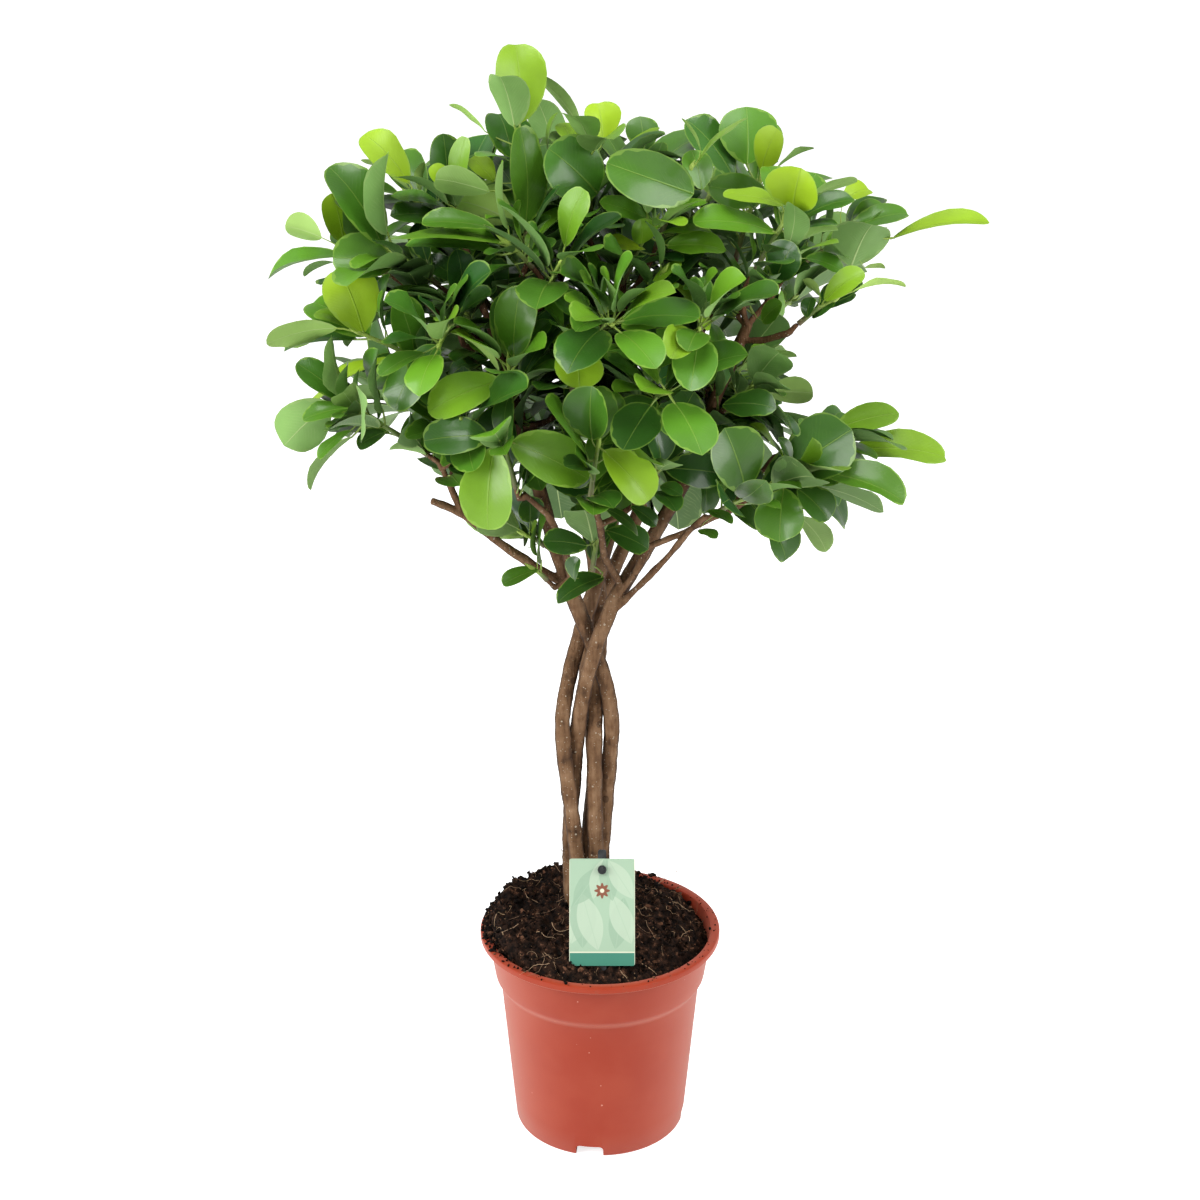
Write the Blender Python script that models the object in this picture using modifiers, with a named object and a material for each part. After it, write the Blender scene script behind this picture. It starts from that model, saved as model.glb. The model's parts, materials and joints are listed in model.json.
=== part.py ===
"""A potted standard ficus: five braided stems in a plastic pot, with limbs, leafy shoots and a tag.

Metres, +Z up. The origin is the middle of the pot's underside, and the tag faces -Y.
"""

import random
from dataclasses import dataclass
from math import acos, cos, pi, radians, sin

import bmesh
import bpy
from mathutils import Vector
from mathutils.bvhtree import BVHTree
from mathutils.geometry import interpolate_bezier
from mathutils.noise import noise

MM = 0.001
SEED = 7
UP = Vector((0, 0, 1))

# Pot
POT_HEIGHT = 0.125
POT_WALL = 0.0014
RIM_RADIUS = 0.070
LIP_WIDTH = 0.0051
LIP_DROP = 0.0038
COLLAR_HEIGHT = 0.0275
COLLAR_RADIUS = 0.0616
SHOULDER_RADIUS = 0.0583
SHOULDER_DROP = 0.0065
FOOT_RADIUS = 0.0503
FOOT_WIDTH = 0.0036
FOOT_SLANT = 0.0022
FLOOR_RISE = 0.0066
BOSS_RADIUS = 0.015
BOSS_SLANT = 0.006
POT_SIDES = 28
NOTCHES = 4
NOTCH_WIDTH = 0.016
NOTCH_HEIGHT = 0.0065
NOTCH_REACH = 0.024
NOTCH_CORNER = 0.0025
NOTCH_TURN = radians(-97)
DRAINS = 5
DRAIN_RADIUS = 0.0036
DRAIN_CIRCLE = 0.032

# Gap that neighbouring pieces keep, and the distance at which two points are one
GAP = 0.0003
WELD = 1e-7

# How often a join is tried, how far its pieces are nudged, and how many faces its scraps may have
JOIN_TRIES = 24
JOIN_NUDGE = 0.00006
SCRAP_FACES = 12

# Soil
SOIL_RINGS = (0.93, 0.76, 0.57, 0.36)
SOIL_EDGE = 0.1252
SOIL_DROP = 0.003
SOIL_SPILL = 0.0015
SOIL_MOUND = 0.0073
SOIL_HEAP = 0.015
SOIL_HEAP_SIDE = Vector((-0.85, 0.45, 0.0))
SOIL_ROUGHNESS = 0.0022
SOIL_LUMP = 0.016
# How much further in than the gap asks the soil stays at each turn of the pot's wall
SOIL_EDGE_SLACK = 0.0009
SOIL_COLLAR_SLACK = 0.0002
SOIL_SHOULDER_SLACK = 0.0011
SOIL_FOOT_SLACK = 0.0045

# Braid
BRAID_CENTRE = Vector((-0.008, 0.0, 0.0))
BRAID_RING = 0.0080
STEM_DEPTH = 0.030
STEM_LEVEL = 0.134
HOLE_SIDES = 12
STEM_CLEARANCE = 0.0006
LEVEL_STEP = 0.009
BRAID_LEVELS = 22
TOP_LEVEL = 52
BRAID_LEVELS_A_RING = 2
CROWN_LEVELS_A_RING = 4
BRAID_PASSES = 60
BRAID_SLANT = 1.14
BRAID_EVENING = 0.12
TWIG_LEVEL = 0.345

# Limbs, twigs and the stems of shoots: radii in millimetres at the foot, and what they lose on the way
TWIG_RADIUS = 1.75
SHOOT_RADIUS = 1.6
RADIUS_LOSS = 0.45
LIMB_STEP = 0.022
TWIG_STEP = 0.04
SHOOT_STEP = 0.02
SHOOT_BOW = 0.05
TWIG_LEAD = 0.007
TWIG_SAG = 0.06
TWIG_STRAY = 0.18
TWIG_TRIES = 240
ANCHOR_TRIES = 8
TWIG_INSET = 0.12
TWIG_CLIMB = 0.4
FALL_COST = 0.8
WOOD_CLEARANCE = 0.0004

# Leaves: an old blade is thicker than a new one
OLD_THICKNESS = 0.00085
NEW_THICKNESS = 0.00065
CLEAR_THICKNESS = 0.0019
TAKEN_THICKNESS = 0.0011
PETIOLE_WIDTH = 0.0012
PETIOLE_THICKNESS = 0.0010
PETIOLE_LENGTH = 0.008
ROOT_SPACING = 0.0022
NODE_SPACING = 0.0012
BLADE_ARCH = 0.07
GOLDEN_TURN = radians(137.5)
# Share of the blade's length, and of its half width there
BLADE_STATIONS = ((0.42, 1.02), (0.94, 0.58))
# A stalk bends back from its blade no further than this cosine, and sharp bends are avoided
SHARPEST = -0.1
SHARP_FROM = 0.3
SHARP_COST = 0.02

# Leaves placed by the front view: how often, and how far they're shifted, in millimetres
SEEN_TRIES = 120
SEEN_SHIFT = 26
SEEN_LEAN = 14
SEEN_TURN = 0.5
BASE_TOWARD = 0.15

# Leaves that follow the rule of the spiral, by the share of the shoot's length
RULED_TRIES = 90
RULED_LENGTH = 0.036
RULED_SWELL = 0.022
RULED_WIDTHS = (0.54, 0.68)
RULED_SPREADS = (48, 74)
RULED_SIZES = (0.85, 1.1)
RULED_FROM = 0.25
RULED_LOWEST = 0.12
RULED_LARGEST = 0.9
RULED_STRAY = 0.15
RULED_TWIST = 1.2
RULED_EASE = 60
RULED_CLOSING = 22
RULED_RISE = 0.12
RULED_SHRINK = 0.004
CROWN_MIDDLE = Vector((0, 0, 0.42))
FACE_ALONG = 0.5
FACE_UP = 0.9
FACE_OUT = 0.35
OLDEST_TONE = 0.15
TIP_TONE = 0.35
TONE_STRAY = 0.12

# Tag
TAG_WIDTH = 0.037
TAG_HEIGHT = 0.060
TAG_THICKNESS = 0.0008
TAG_CORNER = 0.0012
TAG_LEAN = radians(25)
TAG_ACROSS = 0.0012
TAG_FRONT = 0.050
TAG_SEAT = 0.0006
TAG_HOLE_DROP = 0.0062
TAG_HOLE_RADIUS = 0.0019
STAKE_WIDTH = 0.0048
STAKE_THICKNESS = 0.0016
STAKE_RISE = 0.005
STAKE_DEPTH = 0.020
STUD_RADIUS = 0.0014
BUTTON_RADIUS = 0.0026
BUTTON_THICKNESS = 0.0014

# The front view, which sets out the plant: an eye in front of the pot, and a square picture
EYE_DISTANCE = 1.100
EYE_HEIGHT = 0.756
EYE_PITCH = radians(21.2)
EYE_FOCAL = 2141.0
PICTURE_MIDDLE = 600.0


@dataclass(frozen=True)
class Shoot:
    """A young leafy shoot: foot and tip as (across, down, near), then its leaves.

    Each leaf in view is (base across, base down, tip across, tip down, toward, facing, tone,
    width). Near and toward are in millimetres to the front. Facing is 1 where the upper side
    is seen in full and -1 where the underside is. Tone runs from 0, old, to 1, new. Width is a
    share of the length. More counts the leaves that follow the rule of the spiral.
    """

    name: str
    foot: tuple
    tip: tuple
    more: int
    size: float
    leaves: tuple = ()


# Each braided stem: its radii at the foot and at the top, and its route up the front view
STEMS = {
    "stem_1": (4.2, 1.7, (
        (578, 850, 8), (575, 830, 8), (570, 798, 8), (565, 760, 8), (562, 723, 7),
        (563, 696, 6), (568, 672, 3), (577, 645, -4), (590, 608, -9), (602, 570, -12),
        (612, 520, -14), (626, 460, -12), (625, 412, -10), (621, 350, -8), (622, 292, -6),
    )),
    "stem_2": (4.2, 1.6, (
        (567, 832, -2), (568, 810, -4), (573, 790, -5), (577, 766, -3), (576, 743, 1),
        (578, 723, 4), (582, 696, 7), (585, 672, 9), (592, 648, 10), (602, 621, 10),
        (612, 597, 8), (622, 569, 6), (643, 548, 6), (668, 522, 8), (694, 485, 10),
        (700, 440, 8), (712, 395, 5), (730, 355, 2), (752, 317, 0),
    )),
    "stem_3": (4.3, 1.6, (
        (595, 850, 7), (594, 798, 7), (594, 764, 6), (592, 723, 3), (594, 700, -1),
        (597, 680, -5), (602, 645, -9), (604, 610, -14), (600, 575, -22), (590, 530, -32),
        (578, 480, -40), (570, 420, -45), (565, 350, -45), (560, 292, -45),
    )),
    "stem_4": (4.2, 1.6, (
        (603, 835, -4), (605, 800, -4), (608, 777, -3), (610, 750, -3), (608, 720, -1),
        (604, 696, 1), (601, 672, 3), (595, 653, 4), (588, 636, 5), (578, 611, 6),
        (563, 572, 6), (550, 543, 8), (545, 510, 10), (535, 470, 12), (520, 420, 12),
        (505, 370, 10), (490, 322, 6),
    )),
    "stem_5": (4.0, 1.6, (
        (586, 840, -9), (593, 806, -9), (598, 770, -9), (598, 740, -9), (594, 712, -9),
        (586, 690, -9), (578, 668, -10), (578, 645, -13), (586, 622, -18), (602, 596, -27),
        (618, 560, -38), (640, 510, -47), (665, 450, -52), (685, 390, -52), (700, 332, -50),
    )),
}
BRAID_TURNS = {"stem_1": 252, "stem_2": 180, "stem_3": 324, "stem_4": 36, "stem_5": 108}

# Side limbs: the stem, the radii at both ends in millimetres, and the route
LIMBS = (
    ("stem_4", 2.6, 1.7, (
        (560, 586, 7), (540, 570, 10), (500, 543, 14), (463, 514, 18), (448, 507, 20),
        (432, 501, 22),
    )),
    ("stem_4", 1.8, 1.5, ((463, 514, 18), (451, 488, 20), (441, 466, 23))),
    ("stem_4", 2.2, 1.5, ((574, 600, 6), (566, 555, 26), (548, 515, 42), (524, 494, 50))),
    ("stem_2", 1.9, 1.4, (
        (608, 600, 9), (637, 570, 18), (648, 547, 23), (685, 532, 30), (720, 514, 34),
    )),
    ("stem_2", 1.8, 1.4, (
        (603, 615, 10), (640, 585, 16), (665, 560, 22), (690, 530, 36), (706, 516, 44),
    )),
    ("stem_2", 2.2, 1.5, ((610, 590, 9), (604, 556, 30), (600, 525, 50), (594, 504, 58))),
)

SHOOTS = (
    Shoot("shoot_left_low", (428, 455, 25), (350, 410, 35), 2, 0.8, (
        (330, 402, 284, 446, 8, -0.95, 0.45, 0.85),
        (350, 408, 303, 420, 5, 0.6, 0.3, 0.55),
        (345, 402, 296, 364, 0, 0.75, 0.15, 0.6),
        (352, 430, 318, 458, 10, 0.45, 0.3, 0.5),
        (354, 436, 308, 489, 12, -0.2, 0.5, 0.4),
        (356, 385, 359, 440, 12, 0.4, 0.3, 0.5),
        (386, 432, 357, 447, 5, 0.7, 0.1, 0.7),
        (426, 455, 389, 449, 3, -0.4, 0.5, 0.45),
        (378, 420, 372, 386, -5, 0.4, 0.2, 0.5),
    )),
    Shoot("shoot_left_mid", (445, 380, 12), (365, 334, 20), 0, 0.8, (
        (364, 334, 339, 268, -5, 0.95, 0.95, 0.85),
        (338, 328, 266, 343, 0, -0.7, 0.7, 0.5),
        (358, 340, 283, 350, -6, 0.45, 0.1, 0.5),
        (392, 357, 302, 414, 12, 0.25, 0.9, 0.4),
        (432, 376, 362, 373, 8, 0.5, 0.15, 0.6),
        (443, 381, 406, 392, 5, 0.6, 0.1, 0.6),
        (415, 357, 396, 296, 12, 0.85, 0.25, 0.6),
    )),
    Shoot("shoot_left_up", (440, 286, 0), (388, 250, 5), 2, 0.9, (
        (392, 264, 333, 258, 8, 0.95, 0.35, 0.8),
        (383, 246, 330, 165, 0, 0.8, 0.2, 0.6),
        (448, 306, 378, 284, 10, 0.7, 0.4, 0.5),
        (366, 285, 369, 316, 3, 0.3, 0.4, 0.4),
    )),
    Shoot("shoot_left_far", (392, 276, -12), (346, 250, -12), 0, 0.8, (
        (344, 243, 331, 193, -3, 0.9, 0.85, 0.8),
        (322, 238, 285, 226, -4, -0.8, 0.7, 0.8),
        (345, 256, 266, 276, 2, 0.35, 0.3, 0.5),
        (334, 262, 304, 276, -5, -0.4, 0.4, 0.5),
    )),
    Shoot("shoot_upper_left", (446, 226, -20), (414, 197, -15), 2, 0.8, (
        (410, 184, 364, 132, -5, 0.85, 0.9, 0.62),
        (412, 192, 361, 158, 0, -0.25, 0.8, 0.35),
        (446, 207, 391, 196, 5, 0.3, 0.3, 0.5),
        (446, 219, 390, 216, 9, 0.55, 0.15, 0.6),
        (420, 192, 424, 162, -5, -0.5, 0.8, 0.6),
    )),
    Shoot("shoot_upper_left_inner", (464, 236, -10), (455, 192, -5), 2, 0.8, (
        (446, 200, 442, 134, -8, 0.8, 0.1, 0.65),
        (457, 192, 466, 137, 0, 0.8, 0.6, 0.45),
        (446, 190, 431, 166, 5, 0.8, 0.9, 0.75),
    )),
    Shoot("shoot_top_left", (527, 250, -5), (518, 140, 0), 2, 0.9, (
        (520, 124, 516, 44, -8, 0.95, 0.75, 0.7),
        (512, 158, 499, 112, -14, 0.9, 0.1, 1.0),
        (525, 228, 520, 127, 10, 0.8, 0.35, 0.45),
        (514, 222, 460, 200, 10, -0.9, 0.85, 0.85),
        (494, 182, 471, 158, -7, 0.8, 0.85, 0.8),
        (486, 133, 449, 104, -5, -0.3, 0.7, 0.35),
        (490, 192, 434, 178, 5, -0.8, 0.6, 0.5),
    )),
    Shoot("shoot_top_mid", (590, 228, -15), (594, 150, -10), 2, 0.9, (
        (579, 126, 537, 77, 0, -0.55, 0.6, 0.4),
        (603, 142, 598, 103, -5, 0.95, 1.0, 1.0),
        (573, 146, 561, 122, -10, 0.8, 0.7, 0.8),
        (548, 150, 557, 111, -4, 0.3, 0.6, 0.35),
        (598, 194, 549, 148, 12, 0.95, 0.15, 0.9),
        (590, 203, 524, 252, 14, 0.35, 0.5, 0.4),
    )),
    Shoot("shoot_top_back", (628, 218, -30), (640, 162, -30), 2, 0.8, (
        (618, 166, 661, 128, 0, 0.4, 0.7, 0.4),
        (645, 152, 640, 116, -5, 0.9, 0.25, 0.95),
        (655, 168, 663, 142, -8, 0.8, 0.3, 0.8),
    )),
    Shoot("shoot_top_mid_right", (656, 247, -8), (682, 182, -5), 0, 0.9, (
        (694, 194, 607, 163, 12, 0.85, 0.25, 0.52),
        (702, 190, 691, 150, -8, 0.85, 0.35, 0.85),
        (655, 224, 599, 203, 8, 0.6, 0.4, 0.5),
        (701, 152, 681, 119, -5, -0.2, 0.7, 0.35),
    )),
    Shoot("shoot_top_right", (752, 276, 5), (790, 214, 5), 0, 0.8, (
        (793, 208, 801, 168, 10, 0.95, 1.0, 1.25),
        (799, 208, 857, 178, -4, -0.3, 0.6, 0.4),
        (800, 219, 855, 198, 4, 0.7, 0.15, 0.5),
        (790, 234, 838, 222, 10, 0.3, 0.1, 0.4),
        (784, 206, 723, 196, 5, 0.5, 0.8, 0.5),
        (776, 233, 693, 222, 14, 0.55, 0.45, 0.5),
        (796, 242, 838, 228, 0, -0.6, 0.6, 0.4),
    )),
    Shoot("shoot_top_right_back", (736, 258, -40), (758, 186, -40), 2, 0.9, (
        (747, 165, 746, 107, -5, 0.95, 0.3, 1.1),
        (761, 172, 778, 129, 7, 0.85, 1.0, 0.78),
        (777, 168, 814, 148, 0, -0.35, 0.5, 0.35),
        (768, 196, 708, 186, 8, 0.7, 0.3, 0.5),
        (735, 180, 687, 118, 0, 0.75, 0.1, 0.58),
    )),
    Shoot("shoot_right_top", (800, 264, -20), (870, 232, -18), 0, 0.9, (
        (848, 231, 908, 212, -4, 0.7, 0.3, 0.5),
        (890, 240, 990, 222, 4, 0.4, 0.85, 0.35),
        (851, 267, 872, 222, 12, -0.9, 0.4, 1.1),
        (842, 202, 869, 188, -10, 0.8, 0.95, 0.75),
        (864, 268, 886, 267, 0, -0.5, 0.8, 0.5),
    )),
    Shoot("shoot_right_upper", (746, 306, 2), (786, 262, 6), 2, 0.7, (
        (776, 280, 794, 243, 6, 0.9, 0.05, 0.95),
        (805, 258, 843, 272, -5, 0.6, 0.25, 0.6),
        (762, 322, 782, 303, 6, 0.8, 0.4, 0.8),
        (752, 262, 748, 226, -2, 0.3, 0.5, 0.4),
    )),
    Shoot("shoot_right_sprig", (798, 324, 10), (822, 304, 12), 0, 0.7, (
        (824, 301, 864, 271, 5, 0.85, 0.7, 0.55),
        (807, 318, 812, 297, -3, 0.8, 0.1, 0.8),
        (812, 318, 834, 301, 4, 0.7, 0.1, 0.6),
        (852, 292, 906, 284, -3, -0.3, 0.85, 0.3),
        (820, 296, 803, 280, -6, -0.6, 0.8, 0.6),
    )),
    Shoot("shoot_right_mid", (733, 402, 20), (762, 380, 20), 2, 0.7, (
        (738, 372, 797, 353, 3, -0.45, 0.6, 0.4),
        (766, 394, 813, 393, 5, -0.85, 0.7, 0.7),
        (722, 405, 776, 407, 12, 0.7, 0.1, 0.55),
    )),
    Shoot("shoot_right_low", (748, 499, 36), (783, 478, 40), 0, 0.9, (
        (786, 476, 852, 430, -4, 0.95, 0.15, 0.85),
        (806, 470, 906, 500, 15, 0.65, 0.4, 0.42),
        (784, 488, 780, 542, 16, 0.95, 0.3, 0.95),
        (762, 510, 786, 560, 2, 0.75, 0.15, 0.75),
        (797, 488, 829, 520, 10, 0.85, 0.15, 0.85),
        (815, 486, 884, 512, 2, -0.5, 0.3, 0.4),
        (799, 516, 828, 551, 3, -0.7, 0.6, 0.7),
        (785, 462, 751, 422, 2, 0.3, 0.7, 0.35),
        (790, 462, 779, 437, -6, 0.6, 0.2, 0.6),
    )),
    Shoot("shoot_right_low_back", (786, 452, 5), (830, 438, 5), 2, 0.8, (
        (835, 430, 899, 414, -5, 0.7, 0.6, 0.6),
        (850, 450, 946, 456, 0, 0.75, 0.7, 0.45),
        (806, 440, 799, 419, -5, 0.6, 0.3, 0.6),
    )),
    Shoot("shoot_front_right", (718, 512, 46), (746, 498, 54), 0, 0.8, (
        (746, 493, 724, 428, 5, 0.9, 0.25, 0.8),
        (706, 511, 733, 523, 5, 0.7, 0.3, 0.6),
        (698, 530, 717, 538, 3, 0.6, 0.3, 0.7),
    )),
    Shoot("shoot_front_right_inner", (640, 496, 45), (660, 469, 58), 2, 0.8, (
        (664, 468, 725, 474, 5, 0.9, 0.05, 0.62),
        (661, 464, 652, 424, -6, 0.8, 0.05, 0.85),
        (630, 506, 657, 526, 3, 0.8, 0.1, 0.6),
    )),
    Shoot("shoot_front_mid", (590, 500, 60), (598, 447, 74), 2, 0.8, (
        (603, 450, 650, 501, 8, 0.9, 0.75, 0.65),
        (592, 440, 592, 386, 6, 0.9, 0.2, 0.85),
        (603, 444, 634, 436, -4, 0.6, 0.4, 0.6),
    )),
    Shoot("shoot_front_left", (516, 488, 52), (502, 442, 64), 0, 0.9, (
        (511, 442, 589, 479, 8, 0.95, 0.55, 0.62),
        (494, 446, 487, 531, 14, 0.95, 0.6, 0.66),
        (489, 436, 424, 441, 4, 0.9, 0.1, 0.66),
    )),
    Shoot("shoot_front_left_upper", (512, 424, 38), (509, 366, 48), 2, 0.9, (
        (501, 380, 427, 412, 8, 0.9, 0.6, 0.56),
        (514, 358, 521, 285, 6, 0.9, 0.35, 0.6),
        (524, 352, 552, 322, -4, 0.7, 0.2, 0.6),
    )),
    Shoot("shoot_front_upper", (572, 392, 44), (574, 340, 50), 2, 0.8, (
        (573, 345, 580, 388, 24, 0.95, 0.8, 0.95),
        (606, 352, 640, 360, 6, 0.5, 0.2, 0.5),
        (594, 350, 586, 318, 4, 0.6, 0.15, 0.6),
    )),
    Shoot("shoot_low_left", (547, 580, 16), (535, 570, 20), 0, 0.6, (
        (539, 570, 503, 585, 4, 0.7, 0.3, 0.6),
    )),
    Shoot("shoot_low_mid", (592, 572, 18), (598, 536, 28), 0, 0.7, (
        (604, 577, 556, 602, 10, 0.8, 0.1, 0.58),
        (574, 580, 578, 558, 0, 0.85, 0.1, 0.8),
        (588, 546, 543, 541, 8, 0.85, 0.1, 0.58),
        (566, 527, 606, 545, 12, 0.85, 0.3, 0.58),
        (606, 530, 649, 549, 5, 0.85, 0.1, 0.68),
    )),
    Shoot("shoot_low_left_upper", (545, 546, 12), (528, 536, 14), 0, 0.6, (
        (530, 522, 529, 496, 3, 0.9, 0.15, 0.95),
        (524, 547, 521, 522, -3, 0.5, 0.2, 0.45),
    )),
    Shoot("shoot_centre_top", (622, 284, -4), (657, 238, 5), 2, 0.7, (
        (641, 244, 641, 219, 5, 0.9, 0.6, 1.0),
        (644, 250, 604, 246, 8, 0.6, 1.0, 0.6),
        (666, 246, 727, 249, 6, 0.8, 0.5, 0.48),
        (660, 234, 712, 231, -3, 0.35, 0.6, 0.4),
    )),
    Shoot("shoot_centre", (627, 336, 4), (664, 278, 16), 2, 0.7, (
        (668, 279, 708, 331, 10, 0.7, 0.7, 0.52),
        (650, 288, 681, 262, -5, 0.5, 0.6, 0.45),
        (622, 310, 576, 335, 6, 0.25, 0.5, 0.4),
    )),
    Shoot("shoot_inner_left", (533, 268, 16), (510, 244, 20), 0, 0.9, (
        (505, 244, 389, 240, 10, 0.22, 0.5, 0.4),
        (497, 230, 422, 224, 2, 0.55, 0.3, 0.45),
        (500, 256, 405, 246, -4, 0.4, 0.25, 0.4),
        (528, 262, 556, 240, 2, 0.6, 0.2, 0.6),
    )),
    Shoot("shoot_inner_left_low", (480, 336, 2), (463, 308, 6), 2, 0.7, (
        (462, 303, 458, 249, 6, 0.9, 0.0, 0.58),
        (474, 330, 420, 322, 4, 0.4, 0.4, 0.4),
    )),
    Shoot("shoot_front_high", (546, 300, 18), (560, 262, 50), 5, 0.8),
    Shoot("shoot_front_right_high", (700, 330, 22), (700, 326, 66), 6, 0.8),
    Shoot("shoot_front_centre", (646, 410, 30), (668, 392, 78), 6, 0.8),
    Shoot("shoot_front_centre_high", (602, 330, 30), (612, 324, 74), 6, 0.8),
    Shoot("shoot_front_left_high", (452, 330, 20), (440, 344, 56), 5, 0.8),
    Shoot("shoot_front_left_low", (470, 436, 36), (462, 420, 60), 4, 0.8),
    Shoot("shoot_middle_left", (516, 384, -10), (462, 352, -26), 6, 0.8),
    Shoot("shoot_middle_right", (716, 384, -16), (762, 356, -26), 6, 0.8),
    Shoot("shoot_back_left", (520, 420, -60), (470, 392, -98), 7, 0.9),
    Shoot("shoot_back_left_high", (556, 350, -72), (536, 292, -112), 7, 0.9),
    Shoot("shoot_back_mid_high", (620, 330, -72), (632, 262, -112), 7, 0.9),
    Shoot("shoot_back_right_high", (682, 346, -66), (716, 290, -106), 7, 0.9),
    Shoot("shoot_back_right", (700, 430, -58), (756, 408, -92), 7, 0.9),
    Shoot("shoot_back_mid_right", (640, 466, -64), (668, 446, -118), 7, 0.9),
    Shoot("shoot_back_mid_left", (568, 466, -62), (540, 456, -118), 7, 0.9),
    Shoot("shoot_back_left_top", (484, 298, -50), (448, 244, -78), 7, 0.9),
    Shoot("shoot_back_top", (560, 250, -50), (560, 186, -78), 6, 0.9),
    Shoot("shoot_back_top_right", (684, 262, -50), (706, 200, -78), 6, 0.9),
    Shoot("shoot_back_far_left", (450, 420, -26), (394, 404, -58), 6, 0.8),
    Shoot("shoot_back_far_right", (760, 332, -40), (806, 288, -70), 6, 0.8),
)

# The crown's outline in the front view, which the leaves that follow the rule keep within
CROWN_OUTLINE = (
    (330, 440), (300, 415), (310, 375), (330, 350), (330, 300), (345, 270), (330, 230),
    (325, 190), (345, 165), (385, 205), (400, 190), (385, 150), (400, 140), (425, 165),
    (435, 140), (470, 140), (500, 110), (500, 70), (530, 60), (545, 90), (580, 120),
    (615, 110), (620, 140), (640, 125), (690, 130), (720, 120), (760, 115), (785, 135),
    (800, 165), (860, 180), (905, 215), (895, 240), (880, 262), (860, 290), (830, 310),
    (785, 300), (775, 330), (790, 355), (770, 372), (805, 390), (780, 410), (800, 425),
    (850, 410), (890, 430), (930, 445), (900, 490), (880, 510), (830, 545), (785, 555),
    (750, 520), (715, 522), (660, 540), (600, 560), (560, 548), (500, 530), (460, 490),
    (430, 455), (380, 430),
)


def spot(across, down, near):
    """The point seen at (across, down) in the front view, near mm in front of the axis."""
    slope = (PICTURE_MIDDLE - down) / EYE_FOCAL
    side = (across - PICTURE_MIDDLE) / EYE_FOCAL
    ahead = cos(EYE_PITCH) + slope * sin(EYE_PITCH)
    rise = slope * cos(EYE_PITCH) - sin(EYE_PITCH)
    reach = (EYE_DISTANCE - near * MM) / ahead
    return Vector((side * reach, -near * MM, EYE_HEIGHT + rise * reach))


def seen(point):
    """Where the front view shows a point, as (across, down)."""
    ahead = point.y + EYE_DISTANCE
    rise = point.z - EYE_HEIGHT
    depth = ahead * cos(EYE_PITCH) - rise * sin(EYE_PITCH)
    height = ahead * sin(EYE_PITCH) + rise * cos(EYE_PITCH)
    scale = EYE_FOCAL / depth
    return PICTURE_MIDDLE + point.x * scale, PICTURE_MIDDLE - height * scale


def within_crown(point):
    """Whether the front view shows the point inside the crown's outline."""
    across, down = seen(point)
    inside = False
    ends = zip(CROWN_OUTLINE, CROWN_OUTLINE[1:] + CROWN_OUTLINE[:1])
    for (x0, y0), (x1, y1) in ends:
        if (y0 > down) != (y1 > down) and across < x0 + (down - y0) / (y1 - y0) * (x1 - x0):
            inside = not inside
    return inside


def smooth_route(points, step):
    """Points along a smooth curve through the given ones, about a step apart."""
    route = [points[0]]
    for i in range(len(points) - 1):
        start, end = points[i], points[i + 1]
        before = points[i - 1] if i else start - (end - start)
        after = points[i + 2] if i + 2 < len(points) else end + (end - start)
        count = max(2, round((end - start).length / step) + 1)
        handle_1 = start + (end - before) / 6
        handle_2 = end - (after - start) / 6
        route += interpolate_bezier(start, handle_1, handle_2, end, count)[1:]
    return [Vector(point) for point in route]


def nearest(route, point):
    """The index of the route's point that lies nearest to a point."""
    return min(range(len(route)), key=lambda i: (route[i] - point).length)


def braid_routes():
    """The stems' centre lines, from the soil up, pushed apart until none touches another."""
    routes = {}
    for name, (_, _, places) in STEMS.items():
        turn = radians(BRAID_TURNS[name])
        foot = BRAID_CENTRE + BRAID_RING * Vector((cos(turn), sin(turn), 0)) + UP * STEM_LEVEL
        routes[name] = smooth_route([foot] + [spot(*place) for place in places], LEVEL_STEP)
    levels = {name: by_level(route) for name, route in routes.items()}
    for _ in range(BRAID_PASSES):
        for level in sorted(set().union(*levels.values())):
            push_apart(levels, level)
        for points in levels.values():
            even_out(points)
    return {name: list(points.values()) for name, points in levels.items()}


def by_level(route):
    """A route's points at each step of height, by the number of the step."""
    points = {}
    level = 0
    for low, high in zip(route, route[1:]):
        while STEM_LEVEL + level * LEVEL_STEP <= high.z:
            share = (STEM_LEVEL + level * LEVEL_STEP - low.z) / max(high.z - low.z, 1e-9)
            points[level] = low.lerp(high, share)
            level += 1
    return points


def stem_radius(name, level):
    """The radius of a stem at a level, which thins evenly above the braid."""
    foot, top, _ = STEMS[name]
    share = min(max((level - BRAID_LEVELS) / (TOP_LEVEL - BRAID_LEVELS), 0), 1)
    return (foot + (top - foot) * share) * MM


def push_apart(levels, level):
    """Moves the stems that meet at this level away from each other, half each."""
    names = [name for name in levels if level in levels[name]]
    for i, name in enumerate(names):
        for other in names[i + 1:]:
            first, second = levels[name][level], levels[other][level]
            apart = second - first
            radii = stem_radius(name, level) + stem_radius(other, level)
            need = radii * BRAID_SLANT + STEM_CLEARANCE
            if level and apart.length < need:
                push = apart.normalized() * (need - apart.length) / 2
                levels[name][level] = first - push
                levels[other][level] = second + push


def even_out(points):
    """Takes the kinks out of a stem, leaving its foot and its top where they are."""
    numbers = sorted(points)
    for before, here, after in zip(numbers, numbers[1:], numbers[2:]):
        middle = (points[before] + points[after]) / 2
        points[here] = points[here].lerp(Vector((middle.x, middle.y, points[here].z)), BRAID_EVENING)


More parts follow.
